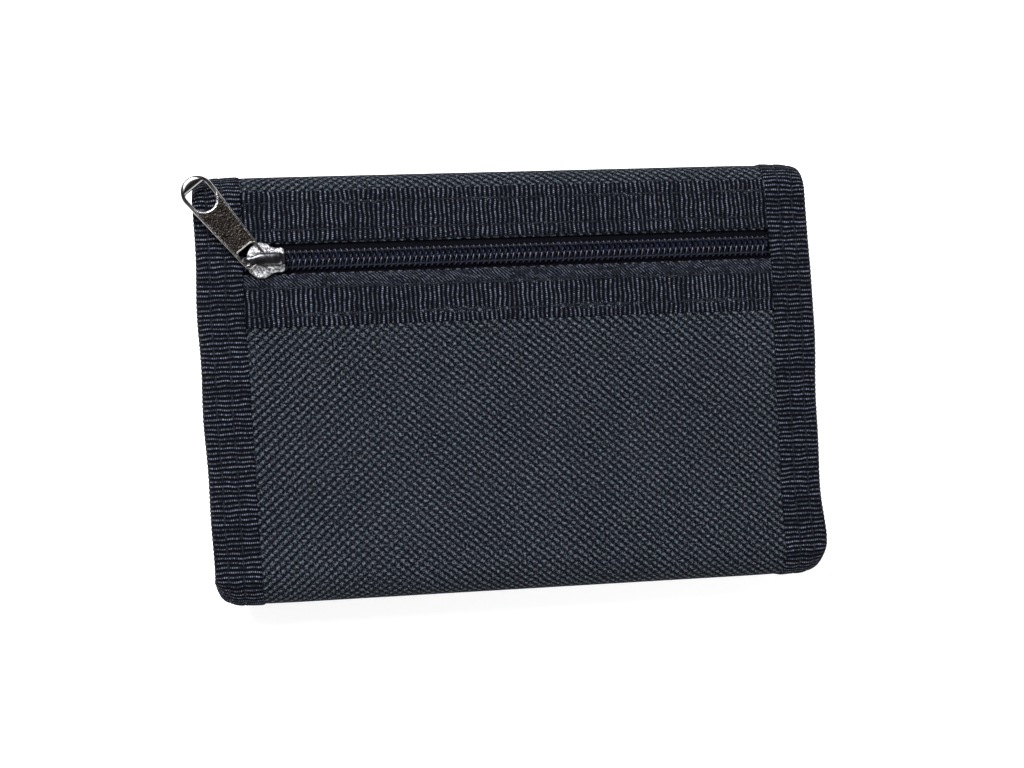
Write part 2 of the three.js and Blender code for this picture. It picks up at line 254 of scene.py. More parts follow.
def grid_faces(rows, columns, close_rows=False, close_columns=False):
    """Quads over a grid of rows by columns, joined end to end where a direction closes."""
    i = np.arange(rows if close_rows else rows - 1)
    j = np.arange(columns if close_columns else columns - 1)
    i, j = (v.ravel() for v in np.meshgrid(i, j, indexing="ij"))
    i2, j2 = (i + 1) % rows, (j + 1) % columns
    corners = (i * columns + j, i2 * columns + j, i2 * columns + j2, i * columns + j2)
    return np.stack(corners, axis=1)


def grid_object(name, points, uv):
    """A sheet from a grid of points [rows, columns, 3] with matching UVs in mm."""
    rows, columns = points.shape[:2]
    faces = grid_faces(rows, columns)
    return mesh_object(name, points.reshape(-1, 3), faces, uv=uv.reshape(-1, 2))


def thicken(obj, thickness, offset=-1.0):
    """Gives a sheet its thickness, with closed rims: offset -1 grows it inwards, 1 outwards."""
    solid = obj.modifiers.new("Thickness", "SOLIDIFY")
    solid.thickness = thickness * 0.001
    solid.offset = offset
    solid.use_rim = True
    return obj


def dress(obj, material):
    """Puts the piece's finish on it."""
    obj.data.materials.clear()
    obj.data.materials.append(material)
    return obj


def follow(obj):
    """Bakes the piece's transform into its points; its bend over the fold was already built in by
    place.
    """
    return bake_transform(obj)


def pillow(outline, levels):
    """Points and triangles of a closed rounded plate: a star-shaped outline [n, 2] about its own
    centre, carried up through levels [(share of the outline, height)], with a pole at each end."""
    centre = outline.mean(axis=0)
    rings = np.stack([
        np.column_stack([centre + share * (outline - centre), np.full(len(outline), height)])
        for share, height in levels[1:-1]
    ])
    rows, columns = rings.shape[:2]
    points = np.concatenate([
        rings.reshape(-1, 3),
        [[*centre, levels[0][1]], [*centre, levels[-1][1]]],
    ])
    quads = grid_faces(rows, columns, close_columns=True)
    j = np.arange(columns)
    k = (j + 1) % columns
    low, high = rows * columns, rows * columns + 1
    last = (rows - 1) * columns
    return points, np.concatenate([
        quads[:, [3, 1, 2]],
        quads[:, [3, 0, 1]],
        np.stack([np.full(columns, low), k, j], axis=1),
        np.stack([np.full(columns, high), last + j, last + k], axis=1),
    ])


def tube_points(path, side, up, half_side, half_up, corners=12, power=2.0):
    """A superellipse carried along a path [n, 3] with its own side and up directions [n, 3].

    At angle f the section stands at side * |cos f|^(2/power) and up * |sin f|^(2/power).
    """
    f = 2 * np.pi * np.arange(corners) / corners
    c = np.sign(np.cos(f)) * np.abs(np.cos(f)) ** (2 / power)
    u = np.sign(np.sin(f)) * np.abs(np.sin(f)) ** (2 / power)
    half_side = np.broadcast_to(np.asarray(half_side, float), path.shape[:1])[:, None, None]
    half_up = np.broadcast_to(np.asarray(half_up, float), path.shape[:1])[:, None, None]
    return (
        path[:, None, :]
        + half_side * c[None, :, None] * side[:, None, :]
        + half_up * u[None, :, None] * up[:, None, :]
    )


def tube_faces(rows, columns):
    """Triangles round a tube and over its ends, which close on two extra points."""
    quads = grid_faces(rows, columns, close_columns=True)
    j = np.arange(columns)
    k = (j + 1) % columns
    first, last = rows * columns, rows * columns + 1
    end = (rows - 1) * columns
    return np.concatenate([
        quads[:, [0, 2, 1]],
        quads[:, [0, 3, 2]],
        np.stack([k, j, np.full(columns, first)], axis=1),
        np.stack([end + j, end + k, np.full(columns, last)], axis=1),
    ])


def closed_tube(rings):
    """Points and triangles of a tube through rings [rows, columns, 3], closed at both ends."""
    ends = np.stack([rings[0].mean(0), rings[-1].mean(0)])
    return np.concatenate([rings.reshape(-1, 3), ends]), tube_faces(*rings.shape[:2])


def unit(v):
    """The vectors scaled to length 1."""
    return v / np.linalg.norm(v, axis=-1, keepdims=True)


# ---------------------------------------------------------------- cloth, tapes and thread


def along(start, end, step):
    """Even places from start to end, no further apart than step."""
    return np.linspace(start, end, int(np.ceil(abs(end - start) / step)) + 1)


def cloth_sheet(name, xs, ss, depth, thickness):
    """A sheet of the strip over x and s, at a depth that may vary over it."""
    x, s = np.meshgrid(xs, ss, indexing="ij")
    d = depth(x, s) if callable(depth) else depth
    points = place(x, s, d)
    return thicken(grid_object(name, points, np.stack([x, s], axis=-1)), thickness)


def wandering(across, length):
    """Length along a tape with the ribs' small wander added: three slow sines of both ways."""
    wander = 0.07 * np.sin(0.83 * length + 0.7 * across)
    wander = wander + 0.05 * np.sin(1.3 * across - 0.41 * length)
    return length + wander + 0.045 * np.sin(0.53 * length + 2.3 * across)


def seam_marks(distance, length, rows):
    """How much a point lies in a sewn furrow: a bell across each row, pulled in at each hole."""
    holes = 0.55 + 0.45 * np.abs(np.sin(np.pi * length / sizes().stitch_length))
    return sum(np.exp(-(((distance - row) / 0.42) ** 2)) for row in rows) * holes


def mark(obj, name, value):
    """Stores one number per point, for the finish to read."""
    layer = obj.data.attributes.new(name, "FLOAT", "POINT")
    layer.data.foreach_set("value", np.asarray(value, np.float32).ravel())
    return obj


def rib_height(length, pitch, height):
    """Rounded ribs with narrow valleys: the size of a cosine, one crest each pitch."""
    return height * (np.abs(np.cos(np.pi * length / pitch)) ** 0.8 - 0.5)


def binding(depth, width, columns):
    """Section of a tape folded over an edge, as (distance in from the edge, depth, out, up).

    The outer leg runs out to the edge, half an ellipse turns round it and the inner leg runs
    back. depth [n] gives the distance between the legs, and out and up its outward direction.
    """
    nose = np.minimum(1.3, 0.75 * depth)[:, None]
    leg = np.linspace(0, 1, columns)[None, :]
    turn = np.linspace(0, np.pi, columns // 2 + 1)[None, 1:-1]
    d = depth[:, None]
    e = np.concatenate([
        width + (nose - width) * leg,
        nose * (1 - np.sin(turn)) + 0 * d,
        nose + (width - nose) * leg,
    ], axis=1)
    dd = np.concatenate([0 * leg * d, d * 0.5 * (1 - np.cos(turn)), d + 0 * leg], axis=1)
    out = np.concatenate([0 * leg, np.sin(turn), 0 * leg], axis=1) + 0 * d
    up = np.concatenate([1 + 0 * leg, np.cos(turn), -1 + 0 * leg], axis=1) + 0 * d
    return e, dd, out, up


def tape_depth(s):
    """Distance between the two legs of a side tape at s."""
    return stack_depth(s) + 0.15


def over_ribbons(s):
    """1 where a side tape lies over the ends of the ribbons and 0 elsewhere."""
    return ease(s, ZIP_Y - 14.5, ZIP_Y - 12.5) * (1 - ease(s, ZIP_Y + 13.3, ZIP_Y + 14.6))


def tape_section(depth, length, rows):
    """A folded tape's section at each place along it, as grids.

    Returns (distance in from the edge, depth, out, up, seam marks, height, UVs in mm). The
    height adds the ribs to the tape's own lift and takes off the furrows.
    """
    z = sizes()
    e, d, out, up = binding(depth, z.tape_width, 14)
    ribs = wandering(e, length[:, None])
    seam = seam_marks(e, length[:, None], rows) * np.abs(up)
    h = 0.1 + rib_height(ribs, z.rib_pitch, z.rib_height) - FURROW * seam
    steps = np.hypot(np.diff(e, axis=1, prepend=e[:, :1]), np.diff(d, axis=1, prepend=0))
    uv = np.stack([np.cumsum(steps, axis=1), ribs], axis=-1)
    return e, d, out, up, seam, h, uv


def tape_object(name, grids, flip, swap):
    """A tape from its grids of points, UVs and seam marks, turned so that it faces outwards."""
    if flip:
        grids = [grid[::-1] for grid in grids]
    if swap:
        grids = [grid.swapaxes(0, 1) for grid in grids]
    points, uv, seam = grids
    return thicken(mark(grid_object(name, points, uv), "seam", seam), sizes().tape_thickness)


def side_tape(name, side, start, end, rows):
    """One run of side tape: its folded section carried along s, raised where the ribbons end
    under it and thinned at its own two edges."""
    z = sizes()
    ss = along(start, end, z.rib_pitch / 6)
    e, d, out, up, seam, h, uv = tape_section(tape_depth(ss), ss, rows)
    s = np.broadcast_to(ss[:, None], e.shape)
    under_zip = 1 - 0.55 * np.exp(-(((s - ZIP_Y - 0.2) / 2.6) ** 4))
    h = h + LAP * over_ribbons(s) * under_zip * ease(e, 2, 7) * (up > 0.5)
    h = h - 0.12 * ease(e, z.tape_width - 0.35, z.tape_width)
    points = place(side * (HALF - e + h * out), s, d - h * up)
    return tape_object(name, (points, uv, seam), flip=side < 0, swap=True)


def edge_tape(name, end, rows):
    """The tape folded over a panel's free edge, its section carried across x."""
    xs = along(-MOUTH - 1, MOUTH + 1, sizes().rib_pitch / 6)
    e, d, out, up, seam, h, uv = tape_section(np.full(len(xs), EDGE_TAPE_DEPTH), xs, rows)
    x = np.broadcast_to(xs[:, None], e.shape)
    inside = np.sign(end)
    points = place(x, end - inside * (e - h * out), d - h * up)
    return tape_object(name, (points, uv, seam), flip=inside < 0, swap=False)


def ribbon(name, start, end, raised_end, rows, twilled):
    """A ribbon sewn flat along the zip: ribs across it, furrows along it and a lifted lip.

    The ribs fade into a fine twill within twilled mm of the lip.
    """
    z = sizes()
    xs = along(-MOUTH - 1.6, MOUTH + 1.6, z.rib_pitch / 6)
    ss = along(start, end, 0.42)
    x, s = np.meshgrid(xs, ss, indexing="ij")
    e = np.abs(s - start)
    lip = np.abs(s - raised_end)
    ribs = wandering(s, x)
    seam = seam_marks(e, x, rows)
    twill = 1 - ease(lip, twilled - 0.3, twilled + 0.3)
    h = rib_height(ribs, z.rib_pitch, z.rib_height) * (1 - 0.85 * twill) - FURROW * seam
    h = h + 0.16 * np.exp(-((lip / 1.3) ** 2)) - 0.12 * np.exp(-((lip / 0.3) ** 2))
    h = h + 0.08 * np.sin(0.24 * x + 0.5 * s) * ease(e, 0.2, 2) * ease(lip, 1, 4)
    obj = grid_object(name, place(x, s, 0.22 - h), np.stack([s, ribs], axis=-1))
    mark(obj, "twill", twill)
    return thicken(mark(obj, "seam", seam), z.tape_thickness)


def stitches(x0, s0, x1, s1, depth, facing=1):
    """A row of stitches, each a capsule from (x0, s0) to (x1, s1) that dips in at its ends.

    Ring u of a capsule has radius r * (1 - (2u - 1)^4)^0.5 and is lifted by sin(pi u). facing
    is 1 on the outer side of the strip and -1 on its inner side.
    """
    r = sizes().thread_width / 2
    values = (np.asarray(v, float) for v in (x0, s0, x1, s1, depth))
    x0, s0, x1, s1, depth = np.broadcast_arrays(*values)
    u = np.array([0.0, 0.06, 0.22, 0.5, 0.78, 0.94, 1.0])
    x = x0[:, None] + (x1 - x0)[:, None] * u
    s = s0[:, None] + (s1 - s0)[:, None] * u
    d = depth[:, None] - facing * (0.22 * np.sin(np.pi * u) ** 0.6 - 0.16)[None, :]
    centre = place(x, s, d)
    normal = outward(x, s, d) * facing
    forward = unit(centre[:, -1] - centre[:, 0])[:, None, :] + 0 * centre
    side = unit(np.cross(forward, normal))
    sides = 6
    f = 2 * np.pi * np.arange(sides) / sides
    radius = r * np.sqrt(np.maximum(1 - (2 * u[1:-1] - 1) ** 4, 0.05))
    ring = (
        centre[:, 1:-1, None, :]
        + radius[None, :, None, None] * np.cos(f)[None, None, :, None] * side[:, 1:-1, None, :]
        + radius[None, :, None, None] * np.sin(f)[None, None, :, None] * normal[:, 1:-1, None, :]
    )
    count, rings = ring.shape[:2]
    each = rings * sides + 2
    points = np.concatenate([ring.reshape(count, -1, 3), centre[:, :1], centre[:, -1:]], axis=1)
    tris = tube_faces(rings, sides)[None] + each * np.arange(count)[:, None, None]
    return mesh_object("row", points.reshape(-1, 3), tris.reshape(-1, 3))


def stitch_places(start, end):
    """Starts and ends of the stitches of a row: 70% of each stitch length, evenly set."""
    count = max(2, int(abs(end - start) / sizes().stitch_length))
    first = start + (end - start) * (np.arange(count) + 0.15) / count
    return first, first + (end - start) * 0.7 / count


def joined(name, parts):
    """Several mesh objects joined into one, with the first one's finish."""
    bpy.ops.object.select_all(action="DESELECT")
    for part in parts:
        part.select_set(True)
    bpy.context.view_layer.objects.active = parts[0]
    if len(parts) > 1:
        bpy.ops.object.join()
    obj = bpy.context.view_layer.objects.active
    obj.name = name
    obj.data.name = name
    return obj


# ---------------------------------------------------------------- shader helpers


class Value:
    """A number in a shader. Arithmetic on it adds Math nodes to its material."""

    def __init__(self, finish, socket):
        self.finish = finish
        self.socket = socket

    def _math(self, operation, *inputs):
        node = self.finish.node("ShaderNodeMath", {"operation": operation}, dict(enumerate(inputs)))
        return Value(self.finish, node.outputs[0])

    def __add__(self, other):
        return self._math("ADD", self, other)

    def __sub__(self, other):
        return self._math("SUBTRACT", self, other)

    def __rsub__(self, other):
        return self._math("SUBTRACT", other, self)

    def __mul__(self, other):
        return self._math("MULTIPLY", self, other)

    def __truediv__(self, other):
        return self._math("DIVIDE", self, other)

    def __rtruediv__(self, other):
        return self._math("DIVIDE", other, self)

    def __pow__(self, other):
        return self._math("POWER", self, other)

    def __rpow__(self, other):
        return self._math("POWER", other, self)

    __radd__ = __add__
    __rmul__ = __mul__

    def sin(self):
        """Its sine, for an angle in radians."""
        return self._math("SINE", self)

    def cos(self):
        """Its cosine, for an angle in radians."""
        return self._math("COSINE", self)

    def abs(self):
        """Its size without its sign."""
        return self._math("ABSOLUTE", self)

    def floor(self):
        """The whole number at or below it."""
        return self._math("FLOOR", self)

    def least(self, other):
        """The smaller of the two."""
        return self._math("MINIMUM", self, other)

    def clear(self, start, end):
        """0 at start and 1 at end, smoothly and clamped."""
        settings = {"interpolation_type": "SMOOTHSTEP"}
        inputs = {"Value": self, "From Min": start, "From Max": end}
        node = self.finish.node("ShaderNodeMapRange", settings, inputs)
        return Value(self.finish, node.outputs["Result"])


class Finish:
    """The nodes of a material or a world: one method adds any node, the rest shorten its use."""

    def __init__(self, owner, shader="Principled BSDF"):
        owner.use_nodes = True
        self.owner = owner
        self.tree = owner.node_tree
        self.shader = self.tree.nodes[shader]

    @classmethod
    def material(cls, name):
        """The nodes of a new material."""
        return cls(bpy.data.materials.new(name))

    def node(self, kind, settings=None, inputs=None):
        """Adds a node of that type: its settings first, then its sockets' values or links."""
        node = self.tree.nodes.new(kind)
        for key, value in (settings or {}).items():
            setattr(node, key, value)
        for key, value in (inputs or {}).items():
            self.put(node.inputs[key], value)
        return node

    def put(self, socket, value):
        """Sets a socket to a number or colour, or links a value or another socket to it."""
        if isinstance(value, Value):
            value = value.socket
        if isinstance(value, bpy.types.NodeSocket):
            self.tree.links.new(value, socket)
        elif hasattr(value, "__len__") and len(value) == 3 and socket.type == "RGBA":
            socket.default_value = (*value, 1)
        else:
            socket.default_value = value

    def value(self, socket):
        """A socket's number, ready for arithmetic."""
        return Value(self, socket)

    def uv(self):
        """The piece's own UV map, in mm, as (across, along)."""
        coordinates = self.node("ShaderNodeTexCoord")
        split = self.node("ShaderNodeSeparateXYZ", None, {0: coordinates.outputs["UV"]})
        return self.value(split.outputs[0]), self.value(split.outputs[1])

    def place(self):
        """Object coordinates, in metres."""
        return self.node("ShaderNodeTexCoord").outputs["Object"]

    def mark(self, name):
        """A number stored at the piece's points, or 0 where the piece has none."""
        return self.value(self.node("ShaderNodeAttribute", {"attribute_name": name}).outputs["Fac"])

    def vector(self, x, y, z=0.0):
        """A vector from three numbers."""
        return self.node("ShaderNodeCombineXYZ", None, {0: x, 1: y, 2: z}).outputs[0]

    def noise(self, vector, scale, detail=2.0, roughness=0.5):
        """Smooth noise between 0 and 1."""
        inputs = {"Vector": vector, "Scale": scale, "Detail": detail, "Roughness": roughness}
        return self.value(self.node("ShaderNodeTexNoise", None, inputs).outputs["Fac"])

    def white(self, vector):
        """An unrelated number between 0 and 1 for every vector."""
        settings = {"noise_dimensions": "3D"}
        node = self.node("ShaderNodeTexWhiteNoise", settings, {"Vector": vector})
        return self.value(node.outputs["Value"])

    def greys(self, value, first, middle, last):
        """A grey that varies with a value, from three stops of (position, grey)."""
        node = self.node("ShaderNodeValToRGB", None, {"Fac": value})
        elements = node.color_ramp.elements
        for element, (position, grey) in zip(elements, (first, last)):
            element.position, element.color = position, (grey, grey, grey, 1)
        position, grey = middle
        elements.new(position).color = (grey, grey, grey, 1)
        return node.outputs["Color"]

    def mix(self, share, a, b, kind="MIX"):
        """Mixes two colours; Mix gives 7 inputs, of which 6 and 7 are the colours."""
        settings = {"data_type": "RGBA", "blend_type": kind}
        node = self.node("ShaderNodeMix", settings, {0: share, 6: a, 7: b})
        return node.outputs[2]

    def bump(self, height, distance, strength):
        """The normal of a surface raised by a height, at most distance metres."""
        inputs = {"Height": height, "Distance": distance, "Strength": strength}
        return self.node("ShaderNodeBump", None, inputs).outputs["Normal"]

    def done(self, **sockets):
        """Sets the main shader's sockets; underscores in their names stand for spaces."""
        for key, value in sockets.items():
            self.put(self.shader.inputs[key.replace("_", " ")], value)
        return self.owner


# ---------------------------------------------------------------- finishes

FINISHES = {}


def finish_of(name):
    """The material of that name, built once from the chosen colours."""
    if name not in FINISHES:
        FINISHES[name] = MAKERS[name](colours())
    return FINISHES[name]


def shade(colour, factor):
    """A colour made lighter or darker by a factor."""
    return tuple(min(1.0, c * factor) for c in colour)


def oxford_cloth(c):
    """Coarse plain weave: two crossed waves, one for each diagonal of the floats, broken up by the
    grain of single filaments. The stronger diagonal changes near the left side. The waves paint
    light into the colour: painted highlight on the tops of the floats and painted shade between the
    yarns, over the yarns' own uneven tone."""
    f = Finish.material("oxford_cloth")
    across, length = f.uv()
    slow = f.noise(f.vector(across * 0.3, length * 0.3), 1.0, 2.0) - 0.5
    u = (across + slow * 0.6 + length * 0.03) / 0.94
    v = (length + slow * 0.5) / 0.83
    lean = 0.34 * across.clear(-50, -12)
    weave = (0.26 + lean) * ((u + v) * np.pi).cos() + (0.6 - lean) * ((u - v) * np.pi).cos()
    floats = (u * (2 * np.pi)).cos() + (v * (2 * np.pi)).cos()
    grain = f.noise(f.vector(across * 2.9, length * 2.9), 1.0, 3.0, 0.8) - 0.5
    fibre = f.noise(f.vector((across + length) * 2.2, (across - length) * 6.0), 1.0, 1.0) - 0.5
    patch = f.noise(f.place(), 70, 3.0) - 0.5
    # Painted light: the weave waves make the colour darker between the yarns as painted shade and
    # lighter on the floats as painted highlight; grain, fibre and patch are the yarns' own uneven
    # tone.
    level = 0.21 + 0.4 * weave + 0.05 * floats + 3.4 * grain + 1.5 * fibre + 0.12 * patch
    tone = (level.clear(-0.05, 1.15) + 0.0001) ** 1.5
    tint_share = f.noise(f.vector(across * 1.6, length * 1.6, 5.0), 1.0, 2.0).clear(0.35, 0.65)
    light = f.mix(tint_share, c["cloth_light"], c["cloth_warm"])
    colour = f.mix(tone, c["cloth_dark"], light)
    normal = f.bump(level, 0.00016, 0.7)
    return f.done(Base_Color=colour, Roughness=0.85, Specular_IOR_Level=0.015, Normal=normal)


def grosgrain(name, dark, light):
    """Ribbed tape: every rib's crest is a row of fine bright dots of painted highlight, its valley
    nearly black with painted shade.

    The rows differ in strength, seams are darker by painted shade in their furrows and the ribs
    give way to a slanting twill where the piece is marked with it.
    """
    f = Finish.material(name)
    across, length = f.uv()
    wobble = f.noise(f.vector(across * 0.5, length * 0.25), 1.0, 2.0) - 0.5
    v = length / sizes().rib_pitch
    crest = (v * np.pi).cos().abs()
    rib = (v + 0.5).floor()
    yarns = across / 0.42 + 0.5 * rib
    dots = ((yarns + wobble * 0.7) * np.pi).cos().abs()
    each = f.white(f.vector((yarns + 0.5).floor(), rib))
    row = f.white(f.vector(rib, 3.0))
    grain = f.noise(f.vector(across * 9, length * 9), 1.0, 2.0).clear(0.3, 0.7)
    seam = f.mark("seam")
    twill = f.mark("twill")
    slant = ((across / 0.62 + length / 0.7 + wobble * 1.6) * np.pi).cos().abs()
    # Painted highlight on the dots along each rib's crest and painted shade in the valleys between
    # the ribs; the twill's ridges are lit the same way, by painted highlight.
    ribbed = crest.clear(0.78, 1.0) * (0.04 + 0.96 * dots.clear(0.45, 1.0)) * (0.15 + 1.15 * each)
    slanted = slant.clear(0.74, 1.0) * (0.05 + 0.7 * each) * (0.4 + 0.6 * dots)
    tone = ribbed * (0.45 + 0.8 * row) * (1 - twill) + twill * slanted
    tone = tone * (0.1 + 1.2 * grain)
    # Painted shade in the seams' furrows, and a little painted highlight on the crests.
    tone = tone * (1 - 0.7 * seam.least(1.0)) + 0.04 * grain * crest
    colour = f.mix(tone.least(1.0), dark, light)
    normal = f.bump(crest * 0.6 + dots * crest * 0.5 + 0.2 * grain, 0.00016, 0.8)
    return f.done(Base_Color=colour, Roughness=0.8, Specular_IOR_Level=0.02, Normal=normal)


def fine_weave(name, dark, light, pitch, roughness=0.8):
    """Fine plain weave for linings and zip tapes."""
    f = Finish.material(name)
    across, length = f.uv()
    chequer = (across / pitch * np.pi).sin() * (length / pitch * np.pi).sin()
    patch = f.noise(f.place(), 120, 3.0).clear(0.3, 0.7)
    tone = chequer.clear(-0.6, 0.9) * (0.6 + 0.4 * patch)
    colour = f.mix(tone, dark, light)
    normal = f.bump(chequer.abs(), 0.00006, 0.6)
    return f.done(Base_Color=colour, Roughness=roughness, Specular_IOR_Level=0.03, Normal=normal)


def nylon(c):
    """The zip's moulded filament: dark, glossy and slightly scuffed."""
    f = Finish.material("zip_coil")
    scuff = f.noise(f.place(), 900, 2.0)
    return f.done(
        Base_Color=f.mix(scuff.clear(0.4, 0.75), shade(c["coil"], 0.35), c["coil"]),
        Roughness=0.16 + 0.1 * scuff, Specular_IOR_Level=0.2,
        Normal=f.bump(scuff, 0.00002, 0.5),
    )


def thread(c):
    """Twisted sewing thread."""
    f = Finish.material("sewing_thread")
    twist = f.noise(f.place(), 2600, 2.0)
    return f.done(
        Base_Color=f.mix(twist.clear(0.35, 0.75), shade(c["thread"], 0.4), shade(c["thread"], 1.6)),
        Roughness=0.55, Specular_IOR_Level=0.1, Normal=f.bump(twist, 0.00006, 0.7),
    )


def touch_pile(c):
    """Hooks and loops: a dense black pile."""
    f = Finish.material("touch_fastener")
    pile = f.noise(f.place(), 1500, 3.0)
    rows = f.noise(f.place(), 420, 1.0)
    dark, light = shade(c["lining_dark"], 0.8), shade(c["lining_light"], 1.6)
    return f.done(
        Base_Color=f.mix(pile.clear(0.38, 0.72), dark, light),
        Roughness=0.85, Specular_IOR_Level=0.2, Normal=f.bump(pile + 0.5 * rows, 0.0006, 0.9),
    )


def clear_film():
    """Clear plastic window, slightly cloudy and rippled."""
    f = Finish.material("window_film")
    ripple = f.noise(f.place(), 60, 2.0)
    return f.done(
        Base_Color=(0.75, 0.77, 0.77), Roughness=0.12 + 0.1 * ripple,
        Alpha=0.16 + 0.1 * ripple, Normal=f.bump(ripple, 0.0008, 0.4),
    )


def cast_silver(c):
    """Bright plated casting with an orange-peel skin and dark pits."""
    f = Finish.material("slider_metal")
    peel = f.noise(f.place(), 2200, 3.0)
    broad = f.noise(f.place(), 600, 1.0)
    colour = f.mix(peel.clear(0.36, 0.64), shade(c["slider"], 0.22), c["slider"])
    return f.done(
        Base_Color=colour, Metallic=1.0, Roughness=0.24 + 0.16 * peel,
        Normal=f.bump(peel + 0.8 * broad, 0.0004, 0.9),
    )


def dark_nickel(c):
    """Glossy dark plating on the bridge."""
    f = Finish.material("bridge_metal")
    haze = f.noise(f.place(), 700, 2.0)
    return f.done(
        Base_Color=f.mix(haze.clear(0.3, 0.7), shade(c["bridge"], 0.7), c["bridge"]),
        Metallic=1.0, Roughness=0.14 + 0.14 * haze, Normal=f.bump(haze, 0.0001, 0.5),
    )


def pull_metal(c):
    """Gunmetal plating: pebbled in the sunk field and polished on the rims."""
    f = Finish.material("pull_metal")
    field = f.mark("field")
    pebbled = f.mark("pebbled")
    where = {"Vector": f.place(), "Scale": 3600.0}
    cells = f.node("ShaderNodeTexVoronoi", {"feature": "SMOOTH_F1"}, where)
    pebble = f.value(cells.outputs["Distance"])
    stain = f.noise(f.place(), 1400, 3.0)
    dark = f.mix(stain.clear(0.35, 0.7), shade(c["pull"], 0.6), shade(c["pull"], 1.1))
    return f.done(
        Base_Color=f.mix(field, c["rim"], dark), Metallic=1.0, Roughness=0.16 + 0.12 * pebbled,
        Normal=f.bump(pebble * pebbled, 0.00014, 0.8),
    )


MAKERS = {
    "oxford_cloth": oxford_cloth,
    "grosgrain_tape": lambda c: grosgrain("grosgrain_tape", c["tape_dark"], c["tape_light"]),
    "lining_cloth": lambda c: fine_weave("lining_cloth", c["lining_dark"], c["lining_light"], 0.34),
    # The zip tape's colours carry painted shadow from the ribbons' edges.
    "zip_tape": lambda c: fine_weave("zip_tape", c["zip_dark"], c["zip_light"], 0.3, 0.7),
    "zip_coil": nylon,
    "sewing_thread": thread,
    "touch_fastener": touch_pile,
    "window_film": lambda c: clear_film(),
    "slider_metal": cast_silver,
    "bridge_metal": dark_nickel,
    "pull_metal": pull_metal,
}


# ---------------------------------------------------------------- what a user can change


def size(name, description, default, low, high):
    """A length setting: given here in mm and kept, as Blender shows lengths, in metres."""
    return bpy.props.FloatProperty(
        name=name, description=description, subtype="DISTANCE", unit="LENGTH", precision=5,
        default=0.001 * default, min=0.001 * low, max=0.001 * high,
    )


def tint(name, description, default):
    """A colour setting."""
    return bpy.props.FloatVectorProperty(
        name=name, description=description, subtype="COLOR", size=3,
        default=default, min=0, max=1,
    )


class WalletSizes(bpy.types.PropertyGroup):
    """Sizes of the cloth, the tapes and the zip."""

    cloth_thickness: size("Cloth thickness", "Thickness of the outer cloth", 0.4, 0.2, 0.8)
    lining_thickness: size("Lining thickness", "Thickness of the linings", 0.22, 0.1, 0.5)
    tape_width: size("Tape width", "How far the tape laps onto each face", HALF - MOUTH, 6, 12)
    tape_thickness: size("Tape thickness", "Thickness of tapes and ribbons", 0.32, 0.2, 0.6)
    rib_pitch: size("Rib pitch", "Distance between the ribs of tapes", 0.93, 0.6, 1.5)
    rib_height: size("Rib height", "How far the ribs stand up", 0.15, 0.0, 0.4)
    stitch_length: size("Stitch length", "Length of one stitch with its gap", 2.8, 1.5, 5)
    thread_width: size("Thread width", "Width of the sewing thread", 0.34, 0.2, 0.6)
    turn_pitch: size("Turn pitch", "Length of one turn of the zip's coil", 1.14, 0.8, 2)


class WalletColours(bpy.types.PropertyGroup):
    """Colours of the cloth, the tapes and the metal."""

    # The cloth's shadow colour is painted shade between the yarns; its light colour is the lit tops
    # of the floats with painted highlight, and its warm light is a warmer version of that in random
    # flecks.
    cloth_dark: tint("Cloth shadow", "Outer cloth between its yarns", (0.0008, 0.0014, 0.0028))
    cloth_light: tint("Cloth light", "Outer cloth on top of its yarns", (0.108, 0.138, 0.166))
    cloth_warm: tint("Cloth warm light", "Warmer flecks of the outer cloth", (0.128, 0.13, 0.163))
    # The tape's shadow colour is painted shade in the valleys between the ribs; its light colour is
    # the rib crests with painted highlight.
    tape_dark: tint("Tape shadow", "Tape between its ribs", (0.0006, 0.0009, 0.0022))
    tape_light: tint("Tape light", "Tape on its ribs", (0.148, 0.163, 0.212))
    lining_dark: tint("Lining shadow", "Lining between its yarns", (0.004, 0.0045, 0.006))
    lining_light: tint("Lining light", "Lining on its yarns", (0.022, 0.024, 0.03))
    # Both zip tape colours are the tape's own dark navy made darker still to paint the shadow that
    # the ribbons' edges cast on the tape.
    zip_dark: tint("Zip tape shadow", "Zip tape between its yarns", (0.0003, 0.0004, 0.0009))
    zip_light: tint("Zip tape light", "Zip tape on its yarns", (0.0024, 0.0028, 0.006))
    coil: tint("Coil", "Nylon coil of the zip", (0.004, 0.0055, 0.015))
    thread: tint("Thread", "Sewing thread", (0.005, 0.006, 0.0105))
    slider: tint("Slider", "Plating of the zip slider", (0.5, 0.505, 0.53))
    bridge: tint("Bridge", "Plating of the bridge", (0.06, 0.06, 0.066))
    pull: tint("Pull field", "Sunk field of the pull tab", (0.0115, 0.0098, 0.0088))
    rim: tint("Pull rim", "Polished rims of the pull tab", (0.23, 0.225, 0.225))
    floor: tint("Floor", "Studio floor", (0.94, 0.94, 0.94))


def sizes():
    """The chosen sizes in mm, by name."""
    group = bpy.context.scene.wallet_sizes
    in_mm = {key: 1000 * getattr(group, key) for key in WalletSizes.__annotations__}
    return SimpleNamespace(**in_mm)


def colours():
    """The chosen colours as plain tuples, by name."""
    group = bpy.context.scene.wallet_colours
    return {key: tuple(getattr(group, key)) for key in WalletColours.__annotations__}


# ---------------------------------------------------------------- pieces


def sheet_facts(obj, length):
    """Works out a sheet's area and the width it gives over its true length, and keeps neither."""
    area = sum(face.area for face in obj.data.polygons)
    area / (0.001 * length)
    0.001 * length
    return obj


def finished(obj, finish, slot, nodes=(), body=None, run=None):
    """Dresses a piece, hides the frame nodes it stands for, and ties it to its body or, for a run
    of the strip, bakes its transform.
    """
    dress(obj, finish_of(finish))
    if nodes:
        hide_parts(*nodes)
    if run:
        follow(obj)
    else:
        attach(obj, body)
    return obj


